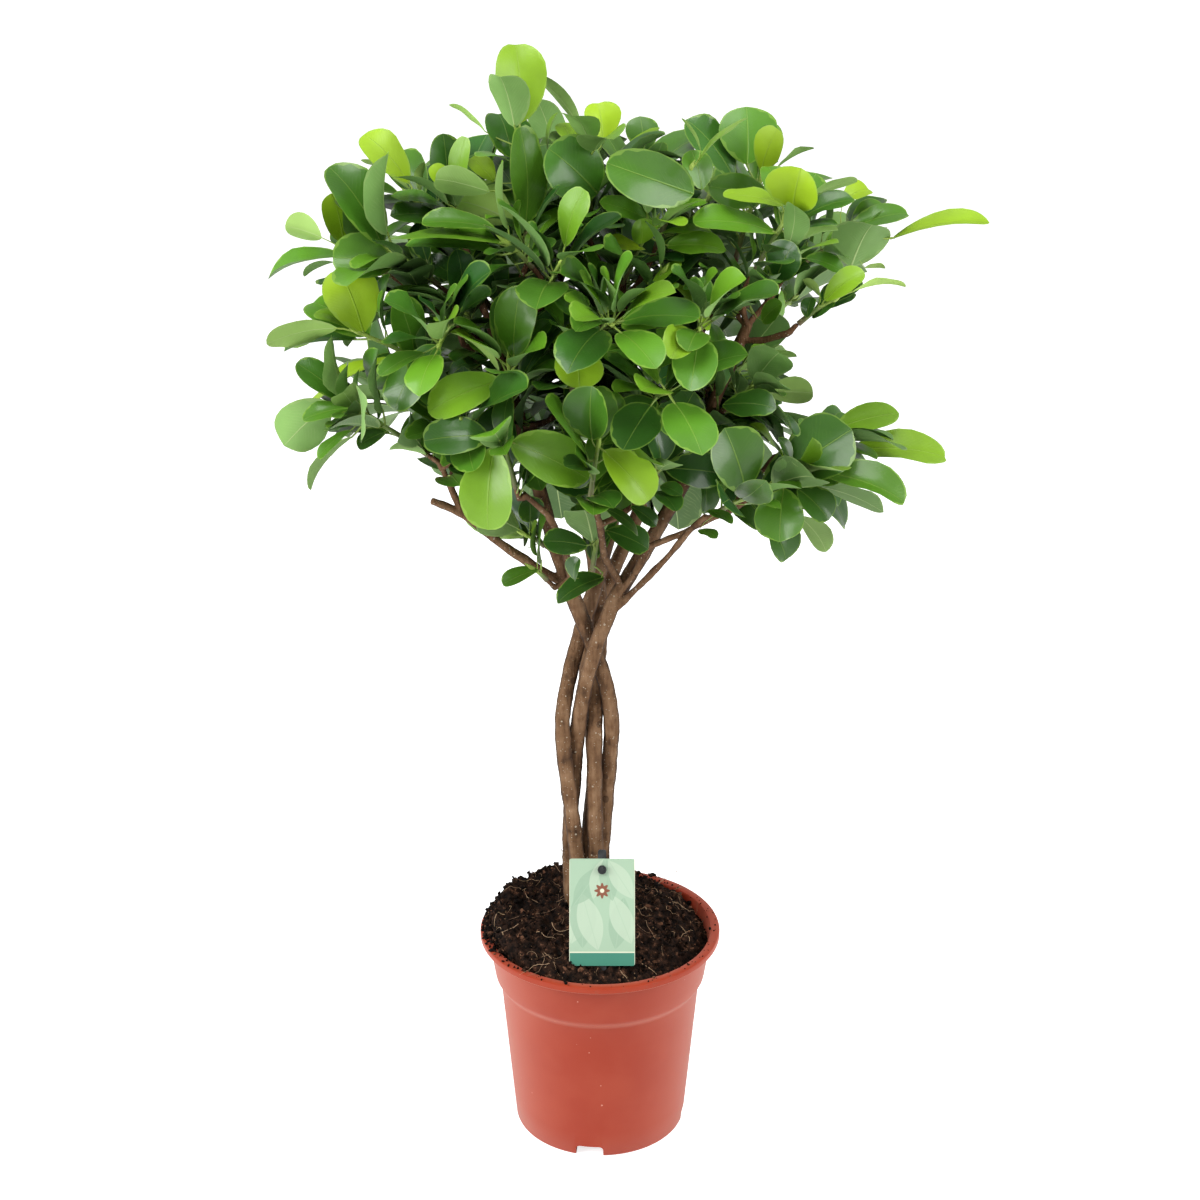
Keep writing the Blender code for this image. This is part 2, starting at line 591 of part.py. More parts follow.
def soil_height(x, y):
    """The height of the soil's surface: mounded, and heaped at the left and the back."""
    place = Vector((x, y, 0.0))
    reach = min(place.length / RIM_RADIUS, 1)
    mound = SOIL_MOUND * (1 - reach * reach)
    heap = SOIL_HEAP * place.dot(SOIL_HEAP_SIDE) / RIM_RADIUS * reach
    rough = SOIL_ROUGHNESS * noise(Vector((x, y, 0.3)) / SOIL_LUMP)
    return SOIL_EDGE + mound + heap + rough


def material(name, colour, roughness):
    """A plain finish."""
    made = bpy.data.materials.new(name)
    made.use_nodes = True
    shader = made.node_tree.nodes["Principled BSDF"]
    shader.inputs["Base Color"].default_value = (*colour, 1)
    shader.inputs["Roughness"].default_value = roughness
    return made


def mesh_object(name, mesh, finish, home):
    """A new object in a collection, shaded smooth but for its sharp edges."""
    made = bpy.data.objects.new(name, mesh)
    if finish and not mesh.materials:
        mesh.materials.append(finish)
    mesh.shade_smooth()
    mesh.set_sharp_from_angle(angle=radians(40))
    home.objects.link(made)
    return made


def cutter_object(mesh, home):
    """A helper that other pieces are cut with."""
    made = bpy.data.objects.new("cutter", mesh)
    made.hide_render = True
    made.display_type = "WIRE"
    home.objects.link(made)
    return made


def mesh_from(bm, name):
    """A mesh made of what a bmesh holds."""
    mesh = bpy.data.meshes.new(name)
    bm.to_mesh(mesh)
    bm.free()
    return mesh


def bake(obj):
    """Applies an object's modifiers, drops its loose scraps and sealed hollows, and checks it."""
    graph = bpy.context.evaluated_depsgraph_get()
    mesh = bpy.data.meshes.new_from_object(obj.evaluated_get(graph))
    bm = bmesh.new()
    bm.from_mesh(mesh)
    largest = max(bodies(bm), key=len)
    scraps = [face for face in bm.faces if face not in largest]
    bmesh.ops.delete(bm, geom=scraps, context="FACES")
    bm.to_mesh(mesh)
    bm.free()
    obj.modifiers.clear()
    obj.data = mesh
    return len(scraps) <= SCRAP_FACES and is_sound(mesh)


def bodies(bm):
    """The sets of faces that hang together by their edges."""
    left = set(bm.faces)
    found = []
    while left:
        ahead = [left.pop()]
        body = set(ahead)
        while ahead:
            face = ahead.pop()
            near = {other for edge in face.edges for other in edge.link_faces} - body
            body |= near
            left -= near
            ahead += near
        found.append(body)
    return found


def cut(obj, cutters):
    """Cuts each cutter out of an object."""
    for cutter in cutters:
        modifier = obj.modifiers.new("cut", "BOOLEAN")
        modifier.operation = "DIFFERENCE"
        modifier.object = cutter


def union(obj, others, name):
    """Joins other objects into one by a single Boolean, nudged until it's sound, and removes them."""
    group = bpy.data.collections.new(name + "_joined")
    bpy.context.scene.collection.children.link(group)
    for other in others:
        group.objects.link(other)
    draws = random.Random(name)
    alone = obj.data
    for attempt in range(JOIN_TRIES):
        obj.data = alone
        modifier = obj.modifiers.new("join", "BOOLEAN")
        modifier.operation = "UNION"
        modifier.operand_type = "COLLECTION"
        modifier.collection = group
        modifier.solver = "MANIFOLD" if attempt % 2 else "EXACT"
        bpy.context.view_layer.update()
        if bake(obj):
            break
        for other in others:
            other.location = Vector([draws.uniform(-JOIN_NUDGE, JOIN_NUDGE) for _ in range(3)])
    for other in others:
        bpy.data.objects.remove(other)
    bpy.data.collections.remove(group)
    return obj


def is_sound(mesh):
    """Whether each edge joins just two faces, also once points this close are made one."""
    places = {}
    numbers = []
    for vertex in mesh.vertices:
        key = tuple(round(value / WELD) for value in vertex.co)
        numbers.append(places.setdefault(key, len(places)))
    mesh.calc_loop_triangles()
    ends = {}
    for triangle in mesh.loop_triangles:
        a, b, c = (numbers[i] for i in triangle.vertices)
        if len({a, b, c}) < 3:
            continue
        for edge in ((a, b), (b, c), (c, a)):
            ends[edge] = ends.get(edge, 0) + 1
    return all(count == 1 and ends.get((b, a)) == 1 for (a, b), count in ends.items())


def tube(name, route, radii, sides_level, home, finish=None, cyclic=False):
    """A round tube along a route, closed at its ends, as a mesh."""
    curve = bpy.data.curves.new(name, "CURVE")
    curve.dimensions = "3D"
    curve.bevel_depth = 1.0
    curve.bevel_resolution = sides_level
    curve.use_fill_caps = not cyclic
    spline = curve.splines.new("POLY")
    spline.points.add(len(route) - 1)
    spline.use_cyclic_u = cyclic
    for point, place, radius in zip(spline.points, route, radii):
        point.co = (*place, 1)
        point.radius = radius
    guide = bpy.data.objects.new(name, curve)
    bpy.context.scene.collection.objects.link(guide)
    bpy.context.view_layer.update()
    graph = bpy.context.evaluated_depsgraph_get()
    mesh = bpy.data.meshes.new_from_object(guide.evaluated_get(graph))
    bpy.data.objects.remove(guide)
    bm = bmesh.new()
    bm.from_mesh(mesh)
    bmesh.ops.remove_doubles(bm, verts=bm.verts, dist=1e-6)
    bmesh.ops.recalc_face_normals(bm, faces=bm.faces)
    bm.to_mesh(mesh)
    bm.free()
    return mesh_object(name, mesh, finish, home)


class Space:
    """What stands in the crown so far, to keep new pieces clear of it."""

    def __init__(self):
        self.pieces = []

    def add(self, points, faces):
        """Takes in a new piece."""
        low = Vector([min(p[i] for p in points) for i in range(3)])
        high = Vector([max(p[i] for p in points) for i in range(3)])
        self.pieces.append((low, high, BVHTree.FromPolygons(points, faces)))

    def add_mesh(self, mesh):
        """Takes in a mesh."""
        self.add([v.co.copy() for v in mesh.vertices], [tuple(p.vertices) for p in mesh.polygons])

    def clear_of(self, points, faces):
        """Whether a piece would cross none of those taken in."""
        low = [min(p[i] for p in points) for i in range(3)]
        high = [max(p[i] for p in points) for i in range(3)]
        tree = BVHTree.FromPolygons(points, faces)
        for first, last, other in self.pieces:
            if all(low[i] <= last[i] and high[i] >= first[i] for i in range(3)):
                if tree.overlap(other):
                    return False
        return True


def taper(foot, count):
    """The radii along a thin stem that starts at a radius in millimetres."""
    return [(foot - RADIUS_LOSS * i / (count - 1)) * MM for i in range(count)]


def prism(route, radii):
    """The points and faces of a square tube along a route, to test its way with."""
    points = []
    for i, place in enumerate(route):
        along = (route[min(i + 1, len(route) - 1)] - route[max(i - 1, 0)]).normalized()
        side = along.orthogonal().normalized()
        other = along.cross(side)
        for turn in range(4):
            angle = turn * pi / 2
            points.append(place + (side * cos(angle) + other * sin(angle)) * radii[i])
    faces = [(0, 1, 2, 3), tuple(range(len(points) - 4, len(points)))]
    for i in range(len(route) - 1):
        for turn in range(4):
            a, b = 4 * i + turn, 4 * i + (turn + 1) % 4
            faces.append((a, b, b + 4, a + 4))
    return points, faces


@dataclass
class Leaf:
    """One leaf: where it leaves its stem, its blade's ends and upper side, width and tone."""

    root: Vector
    base: Vector
    tip: Vector
    normal: Vector
    width: float
    tone: float
    arch: float = BLADE_ARCH

    def sections(self):
        """The middle, side and upper directions and half width at the root and each station."""
        along = (self.tip - self.base).normalized()
        side = along.cross(self.normal).normalized()
        stalk = ((self.base - self.root).normalized() + along).normalized()
        stalk_upper = upright(self.normal, stalk)
        stalk_side = stalk.cross(stalk_upper)
        half = PETIOLE_WIDTH / 2
        made = [(place, stalk_side, stalk_upper, half) for place in (self.root, self.base)]
        for share, width in BLADE_STATIONS:
            bend = self.middle(share + 0.05) - self.middle(share - 0.05)
            upper = upright(self.normal, bend)
            made.append((self.middle(share), side, upper, self.width / 2 * width))
        return made

    def middle(self, share):
        """The point of the midrib at a share of the blade's length."""
        along = self.tip - self.base
        rise = self.arch * along.length * 4 * share * (1 - share)
        return self.base + along * share + self.normal * rise

    def thickness(self):
        """How thick the blade is at its age."""
        return OLD_THICKNESS + (NEW_THICKNESS - OLD_THICKNESS) * self.tone

    def solid(self, thickness):
        """The points and faces of the leaf as a thin closed blade on its stalk."""
        points = []
        for number, (middle, side, upper, half) in enumerate(self.sections()):
            lift = upper * (max(thickness, PETIOLE_THICKNESS) if number < 2 else thickness) / 2
            for edge in (middle - side * half, middle + side * half):
                points += [edge + lift, edge - lift]
        return points, BLADE_FACES


def upright(normal, along):
    """The normal turned square to a direction."""
    along = along.normalized()
    return (normal - along * normal.dot(along)).normalized()


def blade_faces():
    """The faces of a leaf: its blade's triangles lie the same way on both of its sides."""
    pairs = len(BLADE_STATIONS) + 2
    left = [4 * i for i in range(pairs)]
    right = [4 * i + 2 for i in range(pairs)]
    faces = []
    for i in range(pairs - 1):
        a, b, c, d = left[i], right[i], right[i + 1], left[i + 1]
        for strip in [(a, b, c), (a, c, d)] if i else [(a, b, c, d)]:
            faces += [strip, tuple(corner + 1 for corner in reversed(strip))]
    rim = right + left[::-1]
    for a, b in zip(rim, rim[1:] + rim[:1]):
        flat = {a, b} <= {0, 2, 4, 6} or {a, b} == {left[-1], right[-1]}
        faces += [(a, a + 1, b + 1, b)] if flat else [(a, a + 1, b + 1), (a, b + 1, b)]
    return faces


BLADE_FACES = blade_faces()


def eye_to(point):
    """The direction from a point to the eye of the front view."""
    return (Vector((0, -EYE_DISTANCE, EYE_HEIGHT)) - point).normalized()


def blade_normal(base, tip, facing):
    """The upper side of a blade of which the front view shows the given share."""
    along = (tip - base).normalized()
    full = eye_to(base.lerp(tip, 0.5))
    full = (full - along * full.dot(along)).normalized()
    side = along.cross(full)
    turn = acos(max(min(facing, 1), -1))
    choices = [full * cos(turn) + side * sin(turn) * sign for sign in (1, -1)]
    return max(choices, key=lambda normal: normal.z)


class Sprig:
    """A shoot as it grows: its stem's route and its leaves."""

    def __init__(self, plan):
        self.plan = plan
        foot, tip = spot(*plan.foot), spot(*plan.tip)
        bow = UP * SHOOT_BOW * (tip - foot).length
        bent = foot.lerp(tip, 0.5) + bow
        self.start = (bent - foot).normalized()
        self.route = smooth_route([foot + self.start * GAP / 2, bent, tip], SHOOT_STEP)
        self.radii = taper(SHOOT_RADIUS, len(self.route))
        self.nodes = smooth_route(self.route, NODE_SPACING)[2:-1]
        self.leaves = []
        self.pieces = []

    def seen_leaf(self, row, space, draws):
        """A leaf placed by the front view, turned a little where it would cross another."""
        across, down, tip_across, tip_down, toward, facing, tone, width = row
        guess = spot(across, down, -self.route[-1].y / MM)
        on_stem = nearest(self.route, guess)
        near = -self.route[on_stem].y / MM
        for attempt in range(SEEN_TRIES):
            ease = attempt / SEEN_TRIES
            shift = draws.uniform(-SEEN_SHIFT, SEEN_SHIFT) * ease
            lean = draws.uniform(-SEEN_LEAN, SEEN_LEAN) * ease
            turn = max(min(facing + draws.uniform(-SEEN_TURN, SEEN_TURN) * ease, 1), -1)
            base = spot(across, down, near + shift + toward * BASE_TOWARD)
            tip = spot(tip_across, tip_down, near + shift + toward + lean)
            root = self.root_of(base, tip)
            length = (tip - base).length
            leaf = Leaf(root, base, tip, blade_normal(base, tip, turn), width * length, tone)
            if self.fits(leaf, space):
                return leaf
        return None

    def ruled_leaf(self, number, space, draws):
        """A leaf on the spiral round the stem, drawn again where it would cross another."""
        count = self.plan.more
        share = RULED_FROM + (1 - RULED_FROM) * (number + 0.5) / count
        for attempt in range(RULED_TRIES):
            place = min(max(share + draws.uniform(-RULED_STRAY, RULED_STRAY), RULED_LOWEST), 1)
            spine = self.route[0].lerp(self.route[-1], place)
            on_stem = self.route[nearest(self.route, spine)]
            along = (self.route[-1] - self.route[0]).normalized()
            stray = draws.uniform(-RULED_TWIST, RULED_TWIST)
            turn = number * GOLDEN_TURN + stray * (0.3 + attempt / RULED_EASE)
            side = along.orthogonal().normalized()
            radial = side * cos(turn) + along.cross(side) * sin(turn)
            spread = radians(draws.uniform(*RULED_SPREADS) - RULED_CLOSING * place)
            heading = (along * cos(spread) + radial * sin(spread) + UP * RULED_RISE).normalized()
            size = self.plan.size * draws.uniform(*RULED_SIZES) * (1 - RULED_SHRINK * attempt)
            length = (RULED_LENGTH + RULED_SWELL * sin(pi * min(place, RULED_LARGEST))) * size
            base = on_stem + heading * PETIOLE_LENGTH
            tip = base + heading * length
            if not within_crown(tip):
                continue
            outward = (base - CROWN_MIDDLE).normalized()
            face = along * FACE_ALONG + UP * FACE_UP + outward * FACE_OUT
            normal = (face - heading * face.dot(heading)).normalized()
            age = OLDEST_TONE + TIP_TONE * place ** 3
            tone = min(max(draws.gauss(age, TONE_STRAY), 0), 1)
            width = length * draws.uniform(*RULED_WIDTHS)
            leaf = Leaf(self.root_of(base, tip), base, tip, normal, width, tone)
            if self.fits(leaf, space):
                return leaf
        return None

    def root_of(self, base, tip):
        """Where the leaf with this blade leaves the stem, apart from the other leaves."""
        heading = (tip - base).normalized()
        free = [
            place for place in self.nodes
            if all((place - leaf.root).length > ROOT_SPACING for leaf in self.leaves)
        ]
        return min(
            free or self.nodes,
            key=lambda place: (place - base).length + max((place - base).dot(self.start), 0)
            + SHARP_COST * max(SHARP_FROM - (base - place).normalized().dot(heading), 0),
        )

    def fits(self, leaf, space):
        """Whether a leaf would cross neither another shoot's pieces nor a leaf of its own."""
        heading = (leaf.tip - leaf.base).normalized()
        if (leaf.base - leaf.root).normalized().dot(heading) < SHARPEST:
            return False
        points, faces = leaf.solid(CLEAR_THICKNESS)
        if not space.clear_of(points, faces):
            return False
        blade = list(range(4, len(points)))
        kept = [tuple(i - 4 for i in face) for face in faces if min(face) >= 4]
        own = BVHTree.FromPolygons([points[i] for i in blade], kept)
        stem = BVHTree.FromPolygons(*prism(self.route, self.radii))
        if own.overlap(stem):
            return False
        for other in self.leaves:
            their_points, their_faces = other.solid(CLEAR_THICKNESS)
            theirs = [tuple(i - 4 for i in face) for face in their_faces if min(face) >= 4]
            if own.overlap(BVHTree.FromPolygons(their_points[4:], theirs)):
                return False
        return True


def grow_twigs(sprigs, wood, space_of):
    """The twig that carries each shoot, from the nearest limb that it can reach clear."""
    draws = random.Random(SEED)
    twigs = {name: [] for name in wood}
    shoots = Space()
    for sprig in sprigs:
        shoots.add(*prism(sprig.route, [r + WOOD_CLEARANCE for r in sprig.radii]))
    for number, sprig in enumerate(sprigs):
        rest = Space()
        rest.pieces = shoots.pieces[:number] + shoots.pieces[number + 1:]
        end = sprig.route[0] - sprig.start * GAP
        lead = end - sprig.start * TWIG_LEAD
        anchors = []
        for name, routes in wood.items():
            for route in routes:
                for place in route[:-1] + [route[-1].lerp(route[-2], TWIG_INSET)]:
                    reach = (lead - place).length
                    fall = max(place.z - lead.z + TWIG_CLIMB * reach, 0)
                    anchors.append((reach + FALL_COST * fall, name, tuple(place)))
        anchors.sort()
        found = grow_twig(lead, end, anchors, {**space_of, "": rest}, draws)
        if found:
            name, route, radii = found
            twigs[name].append((route, radii))
            space_of[name].add(*prism(route, [r + WOOD_CLEARANCE for r in radii]))
    return twigs


def grow_twig(lead, end, anchors, space_of, draws):
    """A clear route from one of the nearest anchors to a shoot's foot."""
    for attempt in range(TWIG_TRIES):
        _, name, place = anchors[min(attempt // ANCHOR_TRIES * 2, len(anchors) - 1)]
        start = Vector(place)
        stray = TWIG_STRAY * (lead - start).length * min(attempt / ANCHOR_TRIES, 1)
        bend = Vector([draws.uniform(-stray, stray) for _ in range(3)])
        middle = start.lerp(lead, 0.5) - UP * TWIG_SAG * (lead - start).length + bend
        route = smooth_route([start, middle, lead], TWIG_STEP) + [end]
        radii = taper(TWIG_RADIUS, len(route))
        points, faces = prism(route, [r + WOOD_CLEARANCE for r in radii])
        others = [space for other, space in space_of.items() if other != name]
        if all(space.clear_of(points, faces) for space in others):
            return name, route, radii
    return None


def build_pot(home, helpers, finish):
    """The thin pot: lip, collar, tapered wall, foot ring and raised floor with its holes."""
    half = POT_WALL / 2
    rim = RIM_RADIUS - half
    profile = (
        (rim, POT_HEIGHT - LIP_DROP),
        (rim, POT_HEIGHT - half),
        (rim + half - LIP_WIDTH, POT_HEIGHT - half),
        (COLLAR_RADIUS - half, POT_HEIGHT - COLLAR_HEIGHT),
        (SHOULDER_RADIUS - half, POT_HEIGHT - COLLAR_HEIGHT - SHOULDER_DROP),
        (FOOT_RADIUS - half, half),
        (FOOT_RADIUS - half - FOOT_WIDTH, half),
        (FOOT_RADIUS - half - FOOT_WIDTH - FOOT_SLANT, FLOOR_RISE + half),
        (BOSS_RADIUS + BOSS_SLANT, FLOOR_RISE + half),
        (BOSS_RADIUS, half),
        (0, half),
    )
    bm = bmesh.new()
    corners = [bm.verts.new((radius, 0, height)) for radius, height in profile]
    for first, second in zip(corners, corners[1:]):
        bm.edges.new((first, second))
    pot = mesh_object("pot", mesh_from(bm, "pot"), finish, home)
    turned = pot.modifiers.new("turn", "SCREW")
    turned.steps = POT_SIDES
    turned.render_steps = POT_SIDES
    turned.use_merge_vertices = True
    turned.merge_threshold = 1e-5
    turned.use_normal_calculate = True
    wall = pot.modifiers.new("wall", "SOLIDIFY")
    wall.thickness = POT_WALL
    wall.offset = 0
    wall.use_even_offset = True
    cut(pot, [notch(i, helpers) for i in range(NOTCHES)])
    cut(pot, [drain(i, helpers) for i in range(DRAINS)])
    return pot


def notch(number, helpers):
    """The cutter of one drain notch in the foot ring, rounded at its upper corners."""
    bm = bmesh.new()
    bmesh.ops.create_cube(bm, size=1)
    bmesh.ops.scale(bm, verts=bm.verts, vec=(NOTCH_REACH, NOTCH_WIDTH, NOTCH_HEIGHT * 2))
    upper = [
        edge for edge in bm.edges
        if all(v.co.z > 0 for v in edge.verts) and abs(edge.verts[0].co.y - edge.verts[1].co.y) < 1e-6
    ]
    bmesh.ops.bevel(bm, geom=upper, offset=NOTCH_CORNER, segments=2, affect="EDGES", profile=0.5)
    cutter = cutter_object(mesh_from(bm, "notch"), helpers)
    turn = NOTCH_TURN + 2 * pi * number / NOTCHES
    cutter.location = (FOOT_RADIUS * cos(turn), FOOT_RADIUS * sin(turn), 0)
    cutter.rotation_euler = (0, 0, turn)
    return cutter


def drain(number, helpers):
    """The cutter of one drain hole in the raised floor."""
    bm = bmesh.new()
    bmesh.ops.create_cone(
        bm, cap_ends=True, segments=8, radius1=DRAIN_RADIUS, radius2=DRAIN_RADIUS, depth=0.01
    )
    cutter = cutter_object(mesh_from(bm, "drain"), helpers)
    turn = 2 * pi * (number + 0.5) / DRAINS
    cutter.location = (DRAIN_CIRCLE * cos(turn), DRAIN_CIRCLE * sin(turn), FLOOR_RISE + 0.001)
    return cutter


def build_soil(home, helpers, routes, finish):
    """The potting soil: it fills the pot, is mounded on top, and has a plain hole for each stem."""
    inset = POT_WALL + GAP
    floor = FLOOR_RISE + POT_WALL + GAP
    wall_rise = (SHOULDER_RADIUS - FOOT_RADIUS) / (POT_HEIGHT - COLLAR_HEIGHT - SHOULDER_DROP)
    edge_radius = RIM_RADIUS - LIP_WIDTH - inset - SOIL_EDGE_SLACK
    lower_radius = FOOT_RADIUS + wall_rise * floor - inset - SOIL_FOOT_SLACK
    profile = [(0, SOIL_EDGE)]
    profile += [(edge_radius * share, SOIL_EDGE) for share in reversed(SOIL_RINGS)]
    profile += [
        (edge_radius, SOIL_EDGE - SOIL_DROP),
        (COLLAR_RADIUS - inset - SOIL_COLLAR_SLACK, POT_HEIGHT - COLLAR_HEIGHT + 0.001),
        (
            SHOULDER_RADIUS - inset - SOIL_SHOULDER_SLACK,
            POT_HEIGHT - COLLAR_HEIGHT - SHOULDER_DROP - 0.002,
        ),
        (lower_radius, floor),
        (0, floor),
    ]
    bm = bmesh.new()
    corners = [bm.verts.new((radius, 0, height)) for radius, height in profile]
    for first, second in zip(corners, corners[1:]):
        bm.edges.new((first, second))
    bmesh.ops.spin(
        bm, geom=bm.verts[:] + bm.edges[:], cent=(0, 0, 0), axis=(0, 0, 1),
        angle=2 * pi, steps=POT_SIDES, use_merge=True,
    )
    bmesh.ops.remove_doubles(bm, verts=bm.verts, dist=1e-5)
    bmesh.ops.recalc_face_normals(bm, faces=bm.faces)
    for vertex in bm.verts:
        height = soil_height(vertex.co.x, vertex.co.y)
        if vertex.co.z > SOIL_EDGE - SOIL_DROP / 2:
            vertex.co.z = height
        elif vertex.co.z > SOIL_EDGE - SOIL_DROP * 1.5:
            vertex.co.z = min(height - SOIL_DROP, POT_HEIGHT + SOIL_SPILL)
    soil = mesh_object("soil", mesh_from(bm, "soil"), finish, home)
    cutters = []
    for name, route in routes.items():
        bm = bmesh.new()
        radius = (stem_radius(name, 0) + GAP) / cos(pi / HOLE_SIDES)
        bmesh.ops.create_cone(
            bm, cap_ends=True, segments=HOLE_SIDES, radius1=radius, radius2=radius, depth=0.06
        )
        cutter = cutter_object(mesh_from(bm, "hole"), helpers)
        cutter.location = route[0].xy.to_3d() + UP * (STEM_LEVEL - STEM_DEPTH - GAP + 0.03)
        cutters.append(cutter)
    up, out = stake_middle()
    length = TAG_HEIGHT + STAKE_RISE + STAKE_DEPTH
    size = (STAKE_WIDTH + 2 * GAP, STAKE_THICKNESS + 2 * GAP, length + 2 * GAP)
    cutters.append(lean(cutter_object(slab(size, 0), helpers), 0, up, out))
    cut(soil, cutters)
    return soil


def build_stem(name, route, limbs, twigs, home, finish):
    """One stem of the braid with its limbs and twigs, down to its end in the soil."""
    foot = route[0] - UP * STEM_DEPTH
    last = len(route) - 1
    levels = [*range(0, BRAID_LEVELS, BRAID_LEVELS_A_RING)]
    levels += [*range(BRAID_LEVELS, last - 2, CROWN_LEVELS_A_RING), last]
    line = [foot] + [route[level] for level in levels]
    radii = [stem_radius(name, level) for level in [0] + levels]
    stem = tube(name, line, radii, 2, home, finish)
    others = []
    for limb_route, limb_radii in limbs:
        others.append(tube("limb", limb_route, limb_radii, 1, home))
    for twig_route, twig_radii in twigs:
        others.append(tube("twig", twig_route, twig_radii, 0, home))
    return union(stem, others, name) if others else stem


def build_shoot(sprig, home, finish):
    """A leafy shoot: its green stem with its leaves joined to it."""
    stem = tube(sprig.plan.name, sprig.route, sprig.radii, 0, home, finish)
    blades = []
    for leaf in sprig.leaves:
        points, faces = leaf.solid(leaf.thickness())
        mesh = bpy.data.meshes.new("leaf")
        mesh.from_pydata(points, [], faces)
        blades.append(mesh_object("leaf", mesh, finish, home))
    return union(stem, blades, sprig.plan.name) if blades else stem


def tag_place(across, up, out):
    """A point of the leaning tag, from its foot: across it, up it and out of its face."""
    lean_up = Vector((0, sin(TAG_LEAN), cos(TAG_LEAN)))
    lean_out = Vector((0, -cos(TAG_LEAN), sin(TAG_LEAN)))
    steps = 20
    edge = [TAG_ACROSS + TAG_WIDTH * (i / steps - 0.5) for i in range(steps + 1)]
    ground = max(soil_height(x, -TAG_FRONT - TAG_THICKNESS * i) for x in edge for i in (-1, 0, 1))
    foot = Vector((TAG_ACROSS, -TAG_FRONT, ground + TAG_SEAT))
    return foot + Vector((across, 0, 0)) + lean_up * up + lean_out * out


def build_card(home, helpers, finish):
    """The card: a thin board with rounded corners and a hole near its top."""
    size = (TAG_WIDTH, TAG_THICKNESS, TAG_HEIGHT)
    card = lean(mesh_object("tag_card", slab(size, TAG_CORNER), finish, home), 0, TAG_HEIGHT / 2, 0)
    bm = bmesh.new()
    bmesh.ops.create_cone(
        bm, cap_ends=True, segments=16, radius1=TAG_HOLE_RADIUS, radius2=TAG_HOLE_RADIUS,
        depth=0.004,
    )
    hole = cutter_object(mesh_from(bm, "tag_hole"), helpers)
    hole.location = tag_place(0, TAG_HEIGHT - TAG_HOLE_DROP, 0)
    hole.rotation_euler = (pi / 2 - TAG_LEAN, 0, 0)
    cut(card, [hole])
    return card


def slab(size, corner):
    """A box with its upright edges bevelled, centred on the origin."""
    bm = bmesh.new()
    bmesh.ops.create_cube(bm, size=1)
    bmesh.ops.scale(bm, verts=bm.verts, vec=size)
    upright = [
        edge for edge in bm.edges
        if abs(edge.verts[0].co.y - edge.verts[1].co.y) > size[1] / 2
    ]
    if corner:
        bmesh.ops.bevel(
            bm, geom=upright, offset=corner, segments=2, affect="EDGES", profile=0.5
        )
    return mesh_from(bm, "slab")


def lean(obj, across, up, out):
    """Places an object on the leaning tag."""
    obj.location = tag_place(across, up, out)
    obj.rotation_euler = (-TAG_LEAN, 0, 0)
    return obj


def stake_middle():
    """How far up the tag the stake's middle is, and how far behind the card."""
    up = (TAG_HEIGHT + STAKE_RISE - STAKE_DEPTH) / 2
    return up, -(TAG_THICKNESS + STAKE_THICKNESS) / 2 - GAP


def build_stake(home, finish):
    """The black stake behind the card: a flat bar, with a stud through the card and a button."""
    up, out = stake_middle()
    length = TAG_HEIGHT + STAKE_RISE + STAKE_DEPTH
    stake = mesh_object(
        "tag_stake", slab((STAKE_WIDTH, STAKE_THICKNESS, length), TAG_CORNER), finish, home
    )
    lean(stake, 0, up, out)
    bpy.context.view_layer.update()
    stake.data.transform(stake.matrix_world)
    stake.matrix_world.identity()
    hole = TAG_HEIGHT - TAG_HOLE_DROP
    face = TAG_THICKNESS / 2 + GAP
    ends = [tag_place(0, hole, face + BUTTON_THICKNESS / 2), tag_place(0, hole, out)]
    stud = tube("stud", ends, [STUD_RADIUS] * 2, 2, home)
    ends = [tag_place(0, hole, face), tag_place(0, hole, face + BUTTON_THICKNESS)]
    button = tube("button", ends, [BUTTON_RADIUS] * 2, 3, home)
    return union(stake, [stud, button], "tag_stake")


def clear_scene():
    """Empties the scene."""
    for obj in list(bpy.data.objects):
        bpy.data.objects.remove(obj)


def new_collection(name):
    """A new collection in the scene."""
    made = bpy.data.collections.new(name)
    bpy.context.scene.collection.children.link(made)
    return made


def limb_routes(routes):
    """The side limbs by stem, each from the middle of what it grows from."""
    found = {name: [] for name in routes}
    for name, foot_radius, end_radius, places in LIMBS:
        line = [spot(*place) for place in places]
        carriers = [routes[name]] + [limb for limb, _ in found[name]]
        start = min((r[nearest(r, line[0])] for r in carriers), key=lambda p: (p - line[0]).length)
        route = smooth_route([start] + line[1:], LIMB_STEP)
        count = len(route) - 1
        loss = (foot_radius - end_radius) / count
        radii = [(foot_radius - loss * i) * MM for i in range(count + 1)]
        found[name].append((route, radii))
    return found


